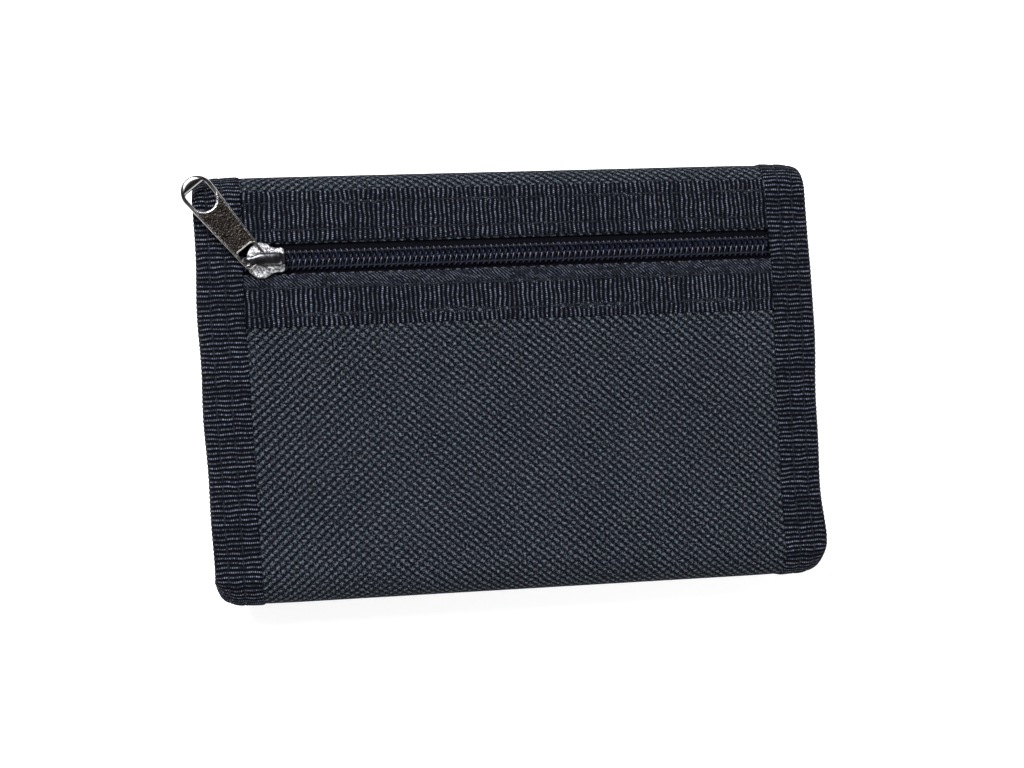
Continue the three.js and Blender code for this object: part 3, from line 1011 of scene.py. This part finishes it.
class WALLET_OT_outer_cloth(bpy.types.Operator):
    """Make the outer cloth in four runs, each bending over one fold"""

    bl_idname = "wallet.outer_cloth"
    bl_label = "Outer cloth"
    bl_options = {"REGISTER", "UNDO"}

    def execute(self, context):
        z = sizes()
        xs = along(-HALF + 0.8, HALF - 0.8, 1.3)
        runs = {
            "back_top": (ZIP_Y + ZIP_GAP_ABOVE, TOP_MID, ["shell_upper_strip", "top_spine_shell"]),
            "flap": (TOP_MID, FLAP_END - 1.2, ["flap_shell"]),
            "back_bottom": (
                BOTTOM_MID, ZIP_Y - ZIP_GAP_BELOW, ["shell_lower_panel", "bottom_spine_shell"],
            ),
            "inner": (INNER_END + 1.2, BOTTOM_MID, ["inner_shell"]),
        }
        for run, (start, end, nodes) in runs.items():
            ss = along(start, end, 0.8)
            obj = cloth_sheet(f"outer_cloth_{run}", xs, ss, self.depth, z.cloth_thickness)
            finished(obj, "oxford_cloth", "oxford_cloth", nodes, run=run)
            sheet_facts(obj, end - start)
        return {"FINISHED"}

    @staticmethod
    def depth(x, s):
        """Slightly puffed along the back, level under the tapes and full at the folds."""
        puff = 0.12 * np.cos(np.clip(x / HALF, -1, 1) * np.pi / 2)
        puff = puff * ease(s, -36, -20) * (1 - ease(s, 8, 22))
        return 0.42 - puff - 0.3 * ease(np.abs(s), STRAIGHT + 1, STRAIGHT + 8)


class WALLET_OT_linings(bpy.types.Operator):
    """Make the lining of every run and the coin pocket's own lining"""

    bl_idname = "wallet.linings"
    bl_label = "Linings"
    bl_options = {"REGISTER", "UNDO"}

    def execute(self, context):
        z = sizes()
        xs = along(-HALF + 0.8, HALF - 0.8, 2.0)
        nodes = {
            "back_top": ["bill_pocket_lining", "top_spine_lining"],
            "flap": ["flap_lining"],
            "back_bottom": ["bill_pocket_lining", "bottom_spine_lining"],
            "inner": ["inner_lining"],
        }
        for run, (start, end) in RUNS.items():
            if run == "flap":
                end = end - 0.9
            if run == "inner":
                start = start + 0.9
            ss = along(start, end, 1.0)
            obj = cloth_sheet(f"lining_{run}", xs, ss, self.lining_depth, z.lining_thickness)
            finished(obj, "lining_cloth", "lining_cloth", nodes[run], run=run)
            sheet_facts(obj, end - start)
        ss = along(-COIN_POCKET_REACH, COIN_POCKET_REACH, 1.5)
        obj = cloth_sheet("coin_pocket_bag", xs, ss, self.bag_depth, z.lining_thickness)
        finished(obj, "lining_cloth", "lining_cloth", ["coin_pocket_lining"], body="back_panel")
        sheet_facts(obj, 2 * COIN_POCKET_REACH)
        return {"FINISHED"}

    @staticmethod
    def lining_depth(x, s):
        """The lining's outer face lies a little short of the stack's innermost face."""
        return stack_depth(s) - 0.4

    @staticmethod
    def bag_depth(x, s):
        """The coin pocket's lining lies next, and no deeper than 5.7 mm."""
        return np.minimum(stack_depth(s) - 0.75, 5.7)


class WALLET_OT_side_tapes(bpy.types.Operator):
    """Make the ribbed tape folded over both side edges, in four runs a side"""

    bl_idname = "wallet.side_tapes"
    bl_label = "Side tapes"
    bl_options = {"REGISTER", "UNDO"}

    def execute(self, context):
        nodes = {
            "back_top": ["back_tape", "top_spine_tape"],
            "flap": ["flap_tape"],
            "back_bottom": ["back_tape", "bottom_spine_tape"],
            "inner": ["inner_tape"],
        }
        for side, label in ((-1, "left"), (1, "right")):
            for run, (start, end) in RUNS.items():
                obj = side_tape(f"side_tape_{label}_{run}", side, start, end, STITCH_ROWS[side])
                names = [f"{n}_{label}" for n in nodes[run]]
                finished(obj, "grosgrain_tape", "grosgrain_tape", names, run=run)
                sheet_facts(obj, end - start)
        return {"FINISHED"}


class WALLET_OT_edge_tapes(bpy.types.Operator):
    """Make the tapes folded over the free edges of the flap and the inner panel"""

    bl_idname = "wallet.edge_tapes"
    bl_label = "Edge tapes"
    bl_options = {"REGISTER", "UNDO"}

    def execute(self, context):
        for label, end, body, cloth in (
            ("flap", FLAP_END, "flap", "outer_cloth_flap"),
            ("inner", INNER_END, "inner_panel", "outer_cloth_inner"),
        ):
            obj = edge_tape(f"edge_tape_{label}", end, EDGE_ROWS)
            finished(obj, "grosgrain_tape", "grosgrain_tape", [f"{label}_edge_tape"], body=body)
            sheet_facts(obj, 2 * MOUTH + 2)
        return {"FINISHED"}


class WALLET_OT_zip_ribbons(bpy.types.Operator):
    """Make the two ribbons sewn along the zip"""

    bl_idname = "wallet.zip_ribbons"
    bl_label = "Zip ribbons"
    bl_options = {"REGISTER", "UNDO"}

    def execute(self, context):
        for label, lip, twilled, tie, under in (
            ("upper", 0, 0.0, {"run": "back_top"}, "outer_cloth_back_top"),
            ("lower", 1, 2.4, {"body": "back_panel"}, "outer_cloth_back_bottom"),
        ):
            edges = [reach(f"ribbon_{label}", corner, 1) for corner in (0, 1)]
            obj = ribbon(f"zip_ribbon_{label}", *edges, edges[lip], RIBBON_ROWS, twilled)
            finished(obj, "grosgrain_tape", "grosgrain_tape", [f"ribbon_{label}"], **tie)
            sheet_facts(obj, 2 * MOUTH + 3.2)
        return {"FINISHED"}


class WALLET_OT_zip_tapes(bpy.types.Operator):
    """Make the woven tapes that carry the zip's coils"""

    bl_idname = "wallet.zip_tapes"
    bl_label = "Zip tapes"
    bl_options = {"REGISTER", "UNDO"}

    def execute(self, context):
        xs = along(-HALF + 1.2, HALF - 1.2, 1.5)
        for label, start, end in (
            ("upper", ZIP_Y + 0.08, ZIP_Y + 10.6),
            ("lower", ZIP_Y - 10.6, ZIP_Y - 0.08),
        ):
            obj = cloth_sheet(f"zip_tape_{label}_cloth", xs, along(start, end, 0.6), 1.1, 0.3)
            finished(obj, "zip_tape", "zip_tape", [f"zip_tape_{label}"], body="back_panel")
            sheet_facts(obj, 2 * HALF - 2.4)
        return {"FINISHED"}


class WALLET_OT_zip_coils(bpy.types.Operator):
    """Make both halves of the zip's coil and the thread that sews them down"""

    bl_idname = "wallet.zip_coils"
    bl_label = "Zip coils"
    bl_options = {"REGISTER", "UNDO"}

    def execute(self, context):
        for side, label in ((1, "upper"), (-1, "lower")):
            coil = self.coil(side, label)
            finished(coil, "zip_coil", "zip_coil", [f"zip_coil_{label}"], body="back_panel")
            finished(self.sewing(side, label), "sewing_thread", None, body="back_panel")
        return {"FINISHED"}

    def coil(self, side, label):
        """A flat helix: cos f swings it across, a squared-off sin f lifts it and f carries it on.

        The filament is thicker at the heads, where the two halves mesh, and round elsewhere.
        """
        pitch = sizes().turn_pitch
        turns = int(2 * MOUTH / pitch)
        f = np.linspace(0, 2 * np.pi * turns, 22 * turns + 1)
        across = np.cos(f)
        lift = np.sign(np.sin(f)) * np.abs(np.sin(f)) ** 0.7
        start = -MOUTH + 0.3 + (0.5 * pitch if side > 0 else 0)
        x = start + pitch * f / (2 * np.pi) + 0.1 * (1 - across)
        path = place(x, ZIP_Y + side * (0.86 + 1.03 * across), 0.58 - 0.24 * lift)
        forward = unit(np.gradient(path, axis=0))
        flat = unit(np.cross(forward, np.array([1.0, 0, 0])))
        spread = np.cross(flat, forward)
        head = ease(-across, 0.35, 1.0)
        points = tube_points(path, spread, flat, 0.27 + 0.06 * head, 0.25, corners=8)
        return mesh_object(f"zip_coil_{label}_turns", *closed_tube(points))

    def sewing(self, side, label):
        """A thread along the coil that dips between the turns, once each pitch."""
        pitch = sizes().turn_pitch
        x = along(-MOUTH - 0.4, MOUTH + 0.4, pitch / 10)
        phase = 2 * np.pi * (x + MOUTH) / pitch + (0 if side > 0 else np.pi)
        path = place(x, ZIP_Y + side * (1.42 + 0.05 * np.sin(phase)), 0.2 + 0.07 * np.cos(phase))
        forward = unit(np.gradient(path, axis=0))
        up = unit(outward(x, ZIP_Y + 0 * x, 0 * x))
        points = tube_points(path, unit(np.cross(forward, up)), up, 0.17, 0.13, corners=7)
        return mesh_object(f"coil_thread_{label}", *closed_tube(points))


class WALLET_OT_card_pockets(bpy.types.Operator):
    """Make the two stepped card pockets on the back panel's inner side"""

    bl_idname = "wallet.card_pockets"
    bl_label = "Card pockets"
    bl_options = {"REGISTER", "UNDO"}

    def execute(self, context):
        z = sizes()
        foot = reach("card_pocket_rear", 0, 1)
        xs = along(-MOUTH - 1, MOUTH + 1, 2.0)
        for label, extra in (("rear", -0.05), ("front", 0.27)):
            top = reach(f"card_pocket_{label}", 1, 1)
            ss = along(foot, top, 1.2)
            depth = self.depth(extra, top)
            obj = cloth_sheet(f"card_pocket_{label}_cloth", xs, ss, depth, z.lining_thickness)
            nodes = [f"card_pocket_{label}"]
            finished(obj, "lining_cloth", "lining_cloth", nodes, body="back_panel")
            sheet_facts(obj, top - foot)
        return {"FINISHED"}

    @staticmethod
    def depth(extra, top):
        """A depth past the stack's own by extra, and 0.12 mm less at the pocket's mouth."""

        def at(x, s):
            return stack_depth(s) + extra - 0.12 * ease(s, top - 3, top)

        return at


class WALLET_OT_id_window(bpy.types.Operator):
    """Make the clear window and its frame on the inner panel"""

    bl_idname = "wallet.id_window"
    bl_label = "ID window"
    bl_options = {"REGISTER", "UNDO"}

    def execute(self, context):
        half = reach("id_window_film", 1, 0)
        foot, head = inner_s(WINDOW_FOOT), inner_s(WINDOW_HEAD)
        xs = along(-half + 1, half - 1, 3.0)
        film = cloth_sheet("window_film_sheet", xs, along(foot, head, 2.0), 1.75, 0.12)
        finished(film, "window_film", "window_film", ["id_window_film"], body="inner_panel")
        obj = thicken(self.border(half, head, foot), 0.3, 1.0)
        finished(obj, "lining_cloth", "lining_cloth", ["id_window_frame"], body="inner_panel")
        return {"FINISHED"}

    def border(self, half, low, high):
        """A flat band carried round a rounded rectangle, domed across its width.

        At angle f the outline stands at |cos f|^0.12 and |sin f|^0.12 of its half sizes.
        """
        corners, columns, width = 160, 9, 5
        f = 2 * np.pi * (np.arange(corners) + 0.5) / corners
        c = np.sign(np.cos(f)) * np.abs(np.cos(f)) ** 0.12
        u = np.sign(np.sin(f)) * np.abs(np.sin(f)) ** 0.12
        across = np.linspace(0, 1, columns)[:, None]
        x = (half - width * across) * c
        s = 0.5 * (low + high) + (0.5 * (high - low) - width * across) * u
        points = place(x, s, 1.95 + 0.12 * np.sin(np.pi * across) + 0 * x)
        faces = grid_faces(columns, corners, close_columns=True)
        uv = np.stack([x, s], -1).reshape(-1, 2)
        return mesh_object("window_border", points.reshape(-1, 3), faces, uv=uv)


class WALLET_OT_touch_strips(bpy.types.Operator):
    """Make the hook strip on the flap and the loop strip on the inner panel"""

    bl_idname = "wallet.touch_strips"
    bl_label = "Touch strips"
    bl_options = {"REGISTER", "UNDO"}

    def execute(self, context):
        half = reach("hook_strip", 1, 0)
        hook = sorted((flap_s(reach("hook_strip", 0, 1)), flap_s(reach("hook_strip", 1, 1))))
        loop = (inner_s(LOOP_HEAD), inner_s(LOOP_FOOT))
        for name, node, (start, end), depth, body, on in (
            ("hook_strip_pile", "hook_strip", hook, 2.72, "flap", "lining_flap"),
            ("loop_strip_pile", "loop_strip", loop, -0.7, "inner_panel", "outer_cloth_inner"),
        ):
            x, s = np.meshgrid(along(-half, half, 0.55), along(start, end, 0.55), indexing="ij")
            e = np.minimum(half - np.abs(x), np.minimum(s - start, end - s))
            sign = 1 if depth > 0 else -1
            tuft = 0.1 * np.sin(5.1 * x + 2 * np.sin(1.7 * s))
            tuft = tuft * np.sin(5.3 * s + 2 * np.sin(1.3 * x))
            d = depth - sign * 0.45 * (1 - ease(e, 0, 1.0)) + tuft * ease(e, 0.5, 1.5)
            obj = grid_object(name, place(x, s, d), np.stack([x, s], -1))
            thicken(obj, 0.5, -1.0 if depth < 0 else 1.0)
            finished(obj, "touch_fastener", "touch_fastener", [node], body=body)
            sheet_facts(obj, end - start)
        return {"FINISHED"}


class WALLET_OT_stitching(bpy.types.Operator):
    """Make the sewing thread of every seam that shows"""

    bl_idname = "wallet.stitching"
    bl_label = "Stitching"
    bl_options = {"REGISTER", "UNDO"}

    def execute(self, context):
        for run, (start, end) in RUNS.items():
            parts = []
            first, last = stitch_places(start + 0.4, end - 0.4)
            inner = tape_depth(0.5 * (first + last)) - 0.02
            for side in (-1, 1):
                for row in STITCH_ROWS[side]:
                    x = side * (HALF - row)
                    depth = 0.04 - LAP * over_ribbons(first) * ease(row, 2, 7)
                    parts.append(stitches(x, first, x, last, depth))
                    parts.append(stitches(x, first, x, last, inner, -1))
            if run == "back_top":
                parts += self.ribbon_seams("upper")
            finished(joined(f"stitches_{run}", parts), "sewing_thread", None, run=run)
        seams = joined("stitches_ribbon", self.ribbon_seams("lower"))
        finished(seams, "sewing_thread", None, body="back_panel")
        first, last = stitch_places(-MOUTH + 0.5, MOUTH - 0.5)
        for label, end, body in (("flap", FLAP_END, "flap"), ("inner", INNER_END, "inner_panel")):
            parts = []
            for row in EDGE_ROWS:
                s = end - np.sign(end) * row
                parts.append(stitches(first, s, last, s, 0.02))
                parts.append(stitches(first, s, last, s, EDGE_TAPE_DEPTH - 0.02, -1))
            finished(joined(f"stitches_edge_{label}", parts), "sewing_thread", None, body=body)
        return {"FINISHED"}

    def ribbon_seams(self, label):
        """Both rows of stitches along one ribbon."""
        first, last = stitch_places(-MOUTH + 0.3, MOUTH - 0.3)
        low = reach(f"ribbon_{label}", 0, 1)
        return [stitches(first, low + row, last, low + row, 0.3) for row in RIBBON_ROWS]


def smooth_loop(points, count):
    """A closed curve through points: each coordinate is its own periodic cubic in the length."""
    points = np.asarray(points, float)
    n = len(points)
    t = np.linspace(0, n, count, endpoint=False)
    i = np.floor(t).astype(int)
    u = (t - i)[:, None]
    p0, p1, p2, p3 = (points[(i + k) % n] for k in (-1, 0, 1, 2))
    square = 2 * p0 - 5 * p1 + 4 * p2 - p3
    cube = 3 * p1 - p0 - 3 * p2 + p3
    return 0.5 * (2 * p1 + (p2 - p0) * u + square * u**2 + cube * u**3)


class WALLET_OT_slider(bpy.types.Operator):
    """Make the cast zip slider and the bridge that holds its pull"""

    bl_idname = "wallet.slider"
    bl_label = "Slider"
    bl_options = {"REGISTER", "UNDO"}

    def execute(self, context):
        low, high = TOP_Z - 1.9, TOP_Z + 0.2
        post = smooth_loop([(-3.6, 0), (-2.4, 0.5), (-1.2, 0.25), (-1.2, -0.25), (-2.4, -0.5)], 24)
        obj = joined("zip_slider_casting", [
            self.plate(1.0, TOP_Z + 0.02, 0.62, 0.3),
            self.plate(0.86, TOP_Z - 2.2, 0.5, 0.08),
            self.solid(post, [(0, low), (1, low), (1, high), (0, high)]),
        ])
        finished(obj, "slider_metal", "slider_metal", ["slider_body"], body="zip_slider")
        bar = self.bridge()
        finished(bar, "bridge_metal", "bridge_metal", ["slider_bridge"], body="zip_slider")
        return {"FINISHED"}

    def plate(self, share, low, height, crown):
        """A shield outline, widest ahead of its middle, rounded at its rim and crowned on top."""
        half = [
            (-4.45, 0), (-4.15, 1.75), (-3.3, 2.9), (-2.1, 3.5), (-0.8, 3.4),
            (0.3, 2.75), (1.3, 2.4), (2.5, 2.35), (2.95, 1.7),
        ]
        outline = share * smooth_loop(half + [(x, -y) for x, y in half[:0:-1]], 84)
        top = low + height
        levels = [
            (0, low), (0.9, low), (0.97, low + 0.06), (1.0, low + 0.5 * height),
            (0.985, top - 0.14), (0.95, top - 0.04), (0.88, top),
            (0.7, top + 0.45 * crown), (0.4, top + 0.85 * crown), (0, top + crown),
        ]
        return self.solid(outline, levels)

    def solid(self, outline, levels):
        """One closed part of the casting, moved to the slider's place."""
        return mesh_object("casting", *pillow(outline + np.array([SLIDER_X, ZIP_Y]), levels))

    def bridge(self):
        """A flat bar carried over an arch with rounded shoulders, widest over the slider's tail."""
        half, foot, crown, r = 4.05, TOP_Z + 0.62, TOP_Z + 2.74, 1.15
        f = np.linspace(0, 0.5 * np.pi, 9)
        rise = np.linspace(foot, crown - r, 6)[:-1]
        flat = np.linspace(-half + r, half - r, 26)[1:-1]
        x = np.concatenate([
            np.full(len(rise), -half), -half + r - r * np.cos(f), flat,
            half - r + r * np.sin(f), np.full(len(rise), half),
        ])
        z = np.concatenate([
            rise, crown - r + r * np.sin(f), np.full(len(flat), crown),
            crown - r + r * np.cos(f), rise[::-1],
        ])
        z = z - 0.1 * (x / half) ** 2
        path = np.stack([SLIDER_X - 1.1 + x, ZIP_Y + 0 * x, z], axis=1)
        forward = unit(np.gradient(path, axis=0))
        side = np.tile([0.0, 1.0, 0.0], (len(path), 1))
        up = np.cross(forward, side)
        width = 0.66 + 0.64 * ease(x, -2.8, -0.4) - 0.3 * ease(x, 2.8, 4.0)
        points = tube_points(path, side, up, width, 0.34, corners=20, power=2.2)
        points, tris = closed_tube(points)
        return mesh_object("slider_bridge_bar", points, tris[:, ::-1])


class WALLET_OT_pull_tab(bpy.types.Operator):
    """Make the pull tab with its eye, its D-shaped slot, its rims and its sunk field"""

    bl_idname = "wallet.pull_tab"
    bl_label = "Pull tab"
    bl_options = {"REGISTER", "UNDO"}

    def execute(self, context):
        outer = self.outline()
        eye = self.rounded(0.55, 3.5, 1.95, 0.8)
        slot = self.dee(13.3, 18.5, 2.45)
        loops = [self.spaced(loop, 0.13) for loop in (outer, eye, slot)]
        pts, faces = self.fill(loops)
        d = np.min([self.distance(pts, loop) for loop in loops], axis=0)
        head = ease(pts[:, 0], 14.5, 18.6)
        field = ease(d, 0.26, 0.42) * (1 - head)
        pebbled = field * (1 - ease(pts[:, 0], 14.5, 16.0))
        rise = 0.36 + 0.19 * np.sqrt(1 - (1 - np.clip(d / 0.2, 0, 1)) ** 2)
        dome = 0.16 + 0.34 * np.sqrt(1 - (1 - np.clip(d / 1.15, 0, 1)) ** 2)
        height = (rise - 0.07 * field) * (1 - head) + dome * head
        count = len(pts)
        points = np.concatenate([np.column_stack([pts, height]), np.column_stack([pts, -height])])
        walls = []
        start = 0
        for loop in loops:
            i = start + np.arange(len(loop))
            j = start + (np.arange(len(loop)) + 1) % len(loop)
            quad = np.stack([i, j, j + count, i + count], axis=1)
            walls.append(quad[:, ::-1] if start == 0 else quad)
            start += len(loop)
        walls = np.concatenate(walls)
        tris = np.concatenate([
            faces, faces[:, ::-1] + count, walls[:, [0, 1, 2]], walls[:, [0, 2, 3]],
        ])
        obj = mesh_object("pull_tab_plate", self.turned(points), tris)
        dark = field + 0.75 * head * ease(d, 0.1, 0.3)
        mark(obj, "field", np.concatenate([dark, dark]))
        mark(obj, "pebbled", np.concatenate([pebbled, pebbled]))
        finished(obj, "pull_metal", "pull_metal", ["pull_tab"], body="zip_pull")
        return {"FINISHED"}

    def turned(self, points):
        """Turns the tab about Z to its heading and moves it to its pivot."""
        c, s = np.cos(PULL_HEADING), np.sin(PULL_HEADING)
        x = c * points[:, 0] - s * points[:, 1]
        y = s * points[:, 0] + c * points[:, 1]
        middle = 0.5 * (reach("pull_tab", 0, 2) + reach("pull_tab", 1, 2))
        pivot = np.array([SLIDER_X - 2.6, ZIP_Y - 0.35, middle])
        return np.stack([x, y, points[:, 2]], axis=1) + pivot

    def outline(self):
        """Two straight sides that spread from the rounded bar end to a half circle."""
        a = np.linspace(-0.5, 0.5, 40) * np.pi
        tip = np.column_stack([17.5 + 3.3 * np.cos(a), 3.3 * np.sin(a)])
        b = np.linspace(0.5, 1, 9) * np.pi
        high = np.column_stack([0.35 + 0.9 * np.cos(b), 1.5 + 0.9 * np.sin(b)])
        low = np.column_stack([high[::-1, 0], -high[::-1, 1]])
        return np.concatenate([tip, high, low])

    def rounded(self, start, end, half, r):
        """A rectangle from start to end, with four quarter circles of radius r for corners."""
        a = np.linspace(0, 0.5, 7) * np.pi
        corners = (
            (end - r, half - r), (start + r, half - r),
            (start + r, -half + r), (end - r, -half + r),
        )
        return np.concatenate([
            np.column_stack([x + r * np.cos(a + k * np.pi / 2), y + r * np.sin(a + k * np.pi / 2)])
            for k, (x, y) in enumerate(corners)
        ])

    def dee(self, start, end, half):
        """A half circle at the start and a straight side at the end, its corners rounded."""
        a = np.linspace(0.5, 1.5, 24) * np.pi
        arc = np.column_stack([start + half + half * np.cos(a), half * np.sin(a)])
        r = 0.5
        b = np.linspace(-0.5, 0, 6) * np.pi
        low = np.column_stack([end - r + r * np.cos(b), -half + r + r * np.sin(b)])
        high = np.column_stack([low[::-1, 0], -low[::-1, 1]])
        return np.concatenate([arc, low, high])

    def spaced(self, loop, step):
        """The same loop with evenly spaced points, by its length."""
        closed = np.concatenate([loop, loop[:1]])
        length = np.concatenate([[0], np.cumsum(np.linalg.norm(np.diff(closed, axis=0), axis=1))])
        t = np.linspace(0, length[-1], int(length[-1] / step), endpoint=False)
        return np.column_stack([np.interp(t, length, closed[:, k]) for k in (0, 1)])

    def distance(self, points, loop):
        """Least distance from each point to the loop's segments."""
        a = loop[None]
        ab = np.roll(loop, -1, axis=0)[None] - a
        ap = points[:, None] - a
        t = np.clip((ap * ab).sum(-1) / np.maximum((ab**2).sum(-1), 1e-12), 0, 1)
        return np.linalg.norm(ap - t[..., None] * ab, axis=-1).min(axis=1)

    def inside(self, points, loop):
        """Whether each point is inside the loop, by the sign of its crossings."""
        x, y = points[:, :1], points[:, 1:]
        ax, ay = loop[:, 0][None], loop[:, 1][None]
        bx, by = np.roll(ax, -1), np.roll(ay, -1)
        crosses = (ay > y) != (by > y)
        at = ax + (y - ay) * (bx - ax) / np.where(by == ay, 1e-12, by - ay)
        return (crosses & (x < at)).sum(axis=1) % 2 == 1

    def fill(self, loops):
        """Fills the plate between its loops with a triangular lattice of points."""
        outer, *holes = loops
        step = 0.14
        gx = np.arange(outer[:, 0].min(), outer[:, 0].max(), step)
        gy = np.arange(outer[:, 1].min(), outer[:, 1].max(), step * 0.866)
        x, y = np.meshgrid(gx, gy, indexing="ij")
        x = x + 0.5 * step * (np.arange(len(gy)) % 2)
        lattice = np.column_stack([x.ravel(), y.ravel()])
        keep = self.inside(lattice, outer)
        for hole in holes:
            keep &= ~self.inside(lattice, hole)
        for loop in loops:
            keep &= self.distance(lattice, loop) > 0.09
        points = np.concatenate([*loops, lattice[keep]])
        edges, start = [], 0
        for loop in loops:
            n = len(loop)
            edges += [(start + i, start + (i + 1) % n) for i in range(n)]
            start += n
        made = delaunay_2d_cdt([Vector(p) for p in points], edges, [], 0, 1e-5)
        pts = np.array([tuple(p) for p in made[0]])
        faces = np.array([f for f in made[2] if len(f) == 3])
        middle = pts[faces].mean(axis=1)
        solid = self.inside(middle, outer)
        for hole in holes:
            solid &= ~self.inside(middle, hole)
        faces = faces[solid]
        a, b, c = (pts[faces[:, k]] for k in range(3))
        area = (b[:, 0] - a[:, 0]) * (c[:, 1] - a[:, 1]) - (b[:, 1] - a[:, 1]) * (c[:, 0] - a[:, 0])
        faces[area < 0] = faces[area < 0][:, ::-1]
        return pts, faces


class WALLET_OT_studio(bpy.types.Operator):
    """Make the floor, the light and the camera"""

    bl_idname = "wallet.studio"
    bl_label = "Studio"
    bl_options = {"REGISTER", "UNDO"}

    def execute(self, context):
        scene = context.scene
        scene.view_settings.view_transform = "Standard"
        corners = FLOOR_REACH * np.array([[-1, -1, 0], [1, -1, 0], [1, 1, 0], [-1, 1, 0]])
        floor = mesh_object("floor", corners, [[0, 1, 2, 3]])
        f = Finish.material("floor")
        dress(floor, f.done(
            Base_Color=shade(colours()["floor"], 0.8), Roughness=0.9, Specular_IOR_Level=0.1,
            Emission_Color=(1.0, 1.0, 1.0), Emission_Strength=0.45,
        ))
        self.world(scene)
        for name, place_m, size_m, watts in (
            ("key_light", (-0.28, 0.46, 0.78), 0.4, 21.0),
            ("fill_light", (0.45, -0.5, 0.8), 0.7, 8.0),
        ):
            light = bpy.data.lights.new(name, "AREA")
            light.size = size_m
            light.energy = watts
            lamp = bpy.data.objects.new(name, light)
            scene.collection.objects.link(lamp)
            lamp.location = place_m
            lamp.rotation_euler = (-lamp.location).to_track_quat("-Z", "Y").to_euler()
        self.camera(scene)
        return {"FINISHED"}

    def world(self, scene):
        """White at the horizon and greyer overhead, so that metal has something to show."""
        scene.world = bpy.data.worlds.new("studio")
        f = Finish(scene.world, "Background")
        coordinates = f.node("ShaderNodeTexCoord")
        split = f.node("ShaderNodeSeparateXYZ", None, {0: coordinates.outputs["Generated"]})
        sky = f.greys(split.outputs[2], (0.08, 1.0), (0.22, 0.42), (0.95, 0.12))
        f.done(Color=sky, Strength=1.0)

    def camera(self, scene):
        """Looks almost straight down from 400 mm, turned and tilted a little to the left side."""
        tilt_x, tilt_y, roll = np.radians([-1.4, 9.3, 2.65])
        turn = Matrix.Rotation(roll, 3, "Z") @ Matrix.Rotation(tilt_x, 3, "X")
        turn = turn @ Matrix.Rotation(tilt_y, 3, "Y")
        back = turn.transposed()
        where = Vector((0, 0, 18)) + back @ Vector((-1.1, -1.0, 400.0))
        camera = bpy.data.cameras.new("camera")
        camera.sensor_width = 36
        camera.lens = 70.3828125
        camera.clip_start = 0.01
        lens = bpy.data.objects.new("camera", camera)
        scene.collection.objects.link(lens)
        lens.matrix_world = Matrix.Translation(where * 0.001) @ back.to_4x4()
        scene.camera = lens


STEPS = (
    WALLET_OT_outer_cloth,
    WALLET_OT_linings,
    WALLET_OT_side_tapes,
    WALLET_OT_edge_tapes,
    WALLET_OT_zip_ribbons,
    WALLET_OT_zip_tapes,
    WALLET_OT_zip_coils,
    WALLET_OT_card_pockets,
    WALLET_OT_id_window,
    WALLET_OT_touch_strips,
    WALLET_OT_stitching,
    WALLET_OT_slider,
    WALLET_OT_pull_tab,
    WALLET_OT_studio,
)


class WALLET_PT_panel(bpy.types.Panel):
    """Lists the steps that make the wallet and the sizes and colours they use"""

    bl_idname = "WALLET_PT_panel"
    bl_label = "Tri-fold wallet"
    bl_space_type = "VIEW_3D"
    bl_region_type = "UI"
    bl_category = "Wallet"

    def draw(self, context):
        layout = self.layout
        for group in (context.scene.wallet_sizes, context.scene.wallet_colours):
            for key in type(group).__annotations__:
                layout.prop(group, key)
        for step in STEPS:
            layout.operator(step.bl_idname)


CLASSES = (WalletSizes, WalletColours, *STEPS, WALLET_PT_panel)


def register():
    """Adds the add-on's classes and its settings to Blender."""
    for cls in CLASSES:
        bpy.utils.register_class(cls)
    bpy.types.Scene.wallet_sizes = bpy.props.PointerProperty(type=WalletSizes)
    bpy.types.Scene.wallet_colours = bpy.props.PointerProperty(type=WalletColours)


def unregister():
    """Takes the settings and the classes away again, in reverse order."""
    del bpy.types.Scene.wallet_colours
    del bpy.types.Scene.wallet_sizes
    for cls in reversed(CLASSES):
        bpy.utils.unregister_class(cls)


def main():
    """Registers the add-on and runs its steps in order."""
    register()
    for step in STEPS:
        group, name = step.bl_idname.split(".")
        getattr(getattr(bpy.ops, group), name)()


if __name__ == "__main__":
    main()
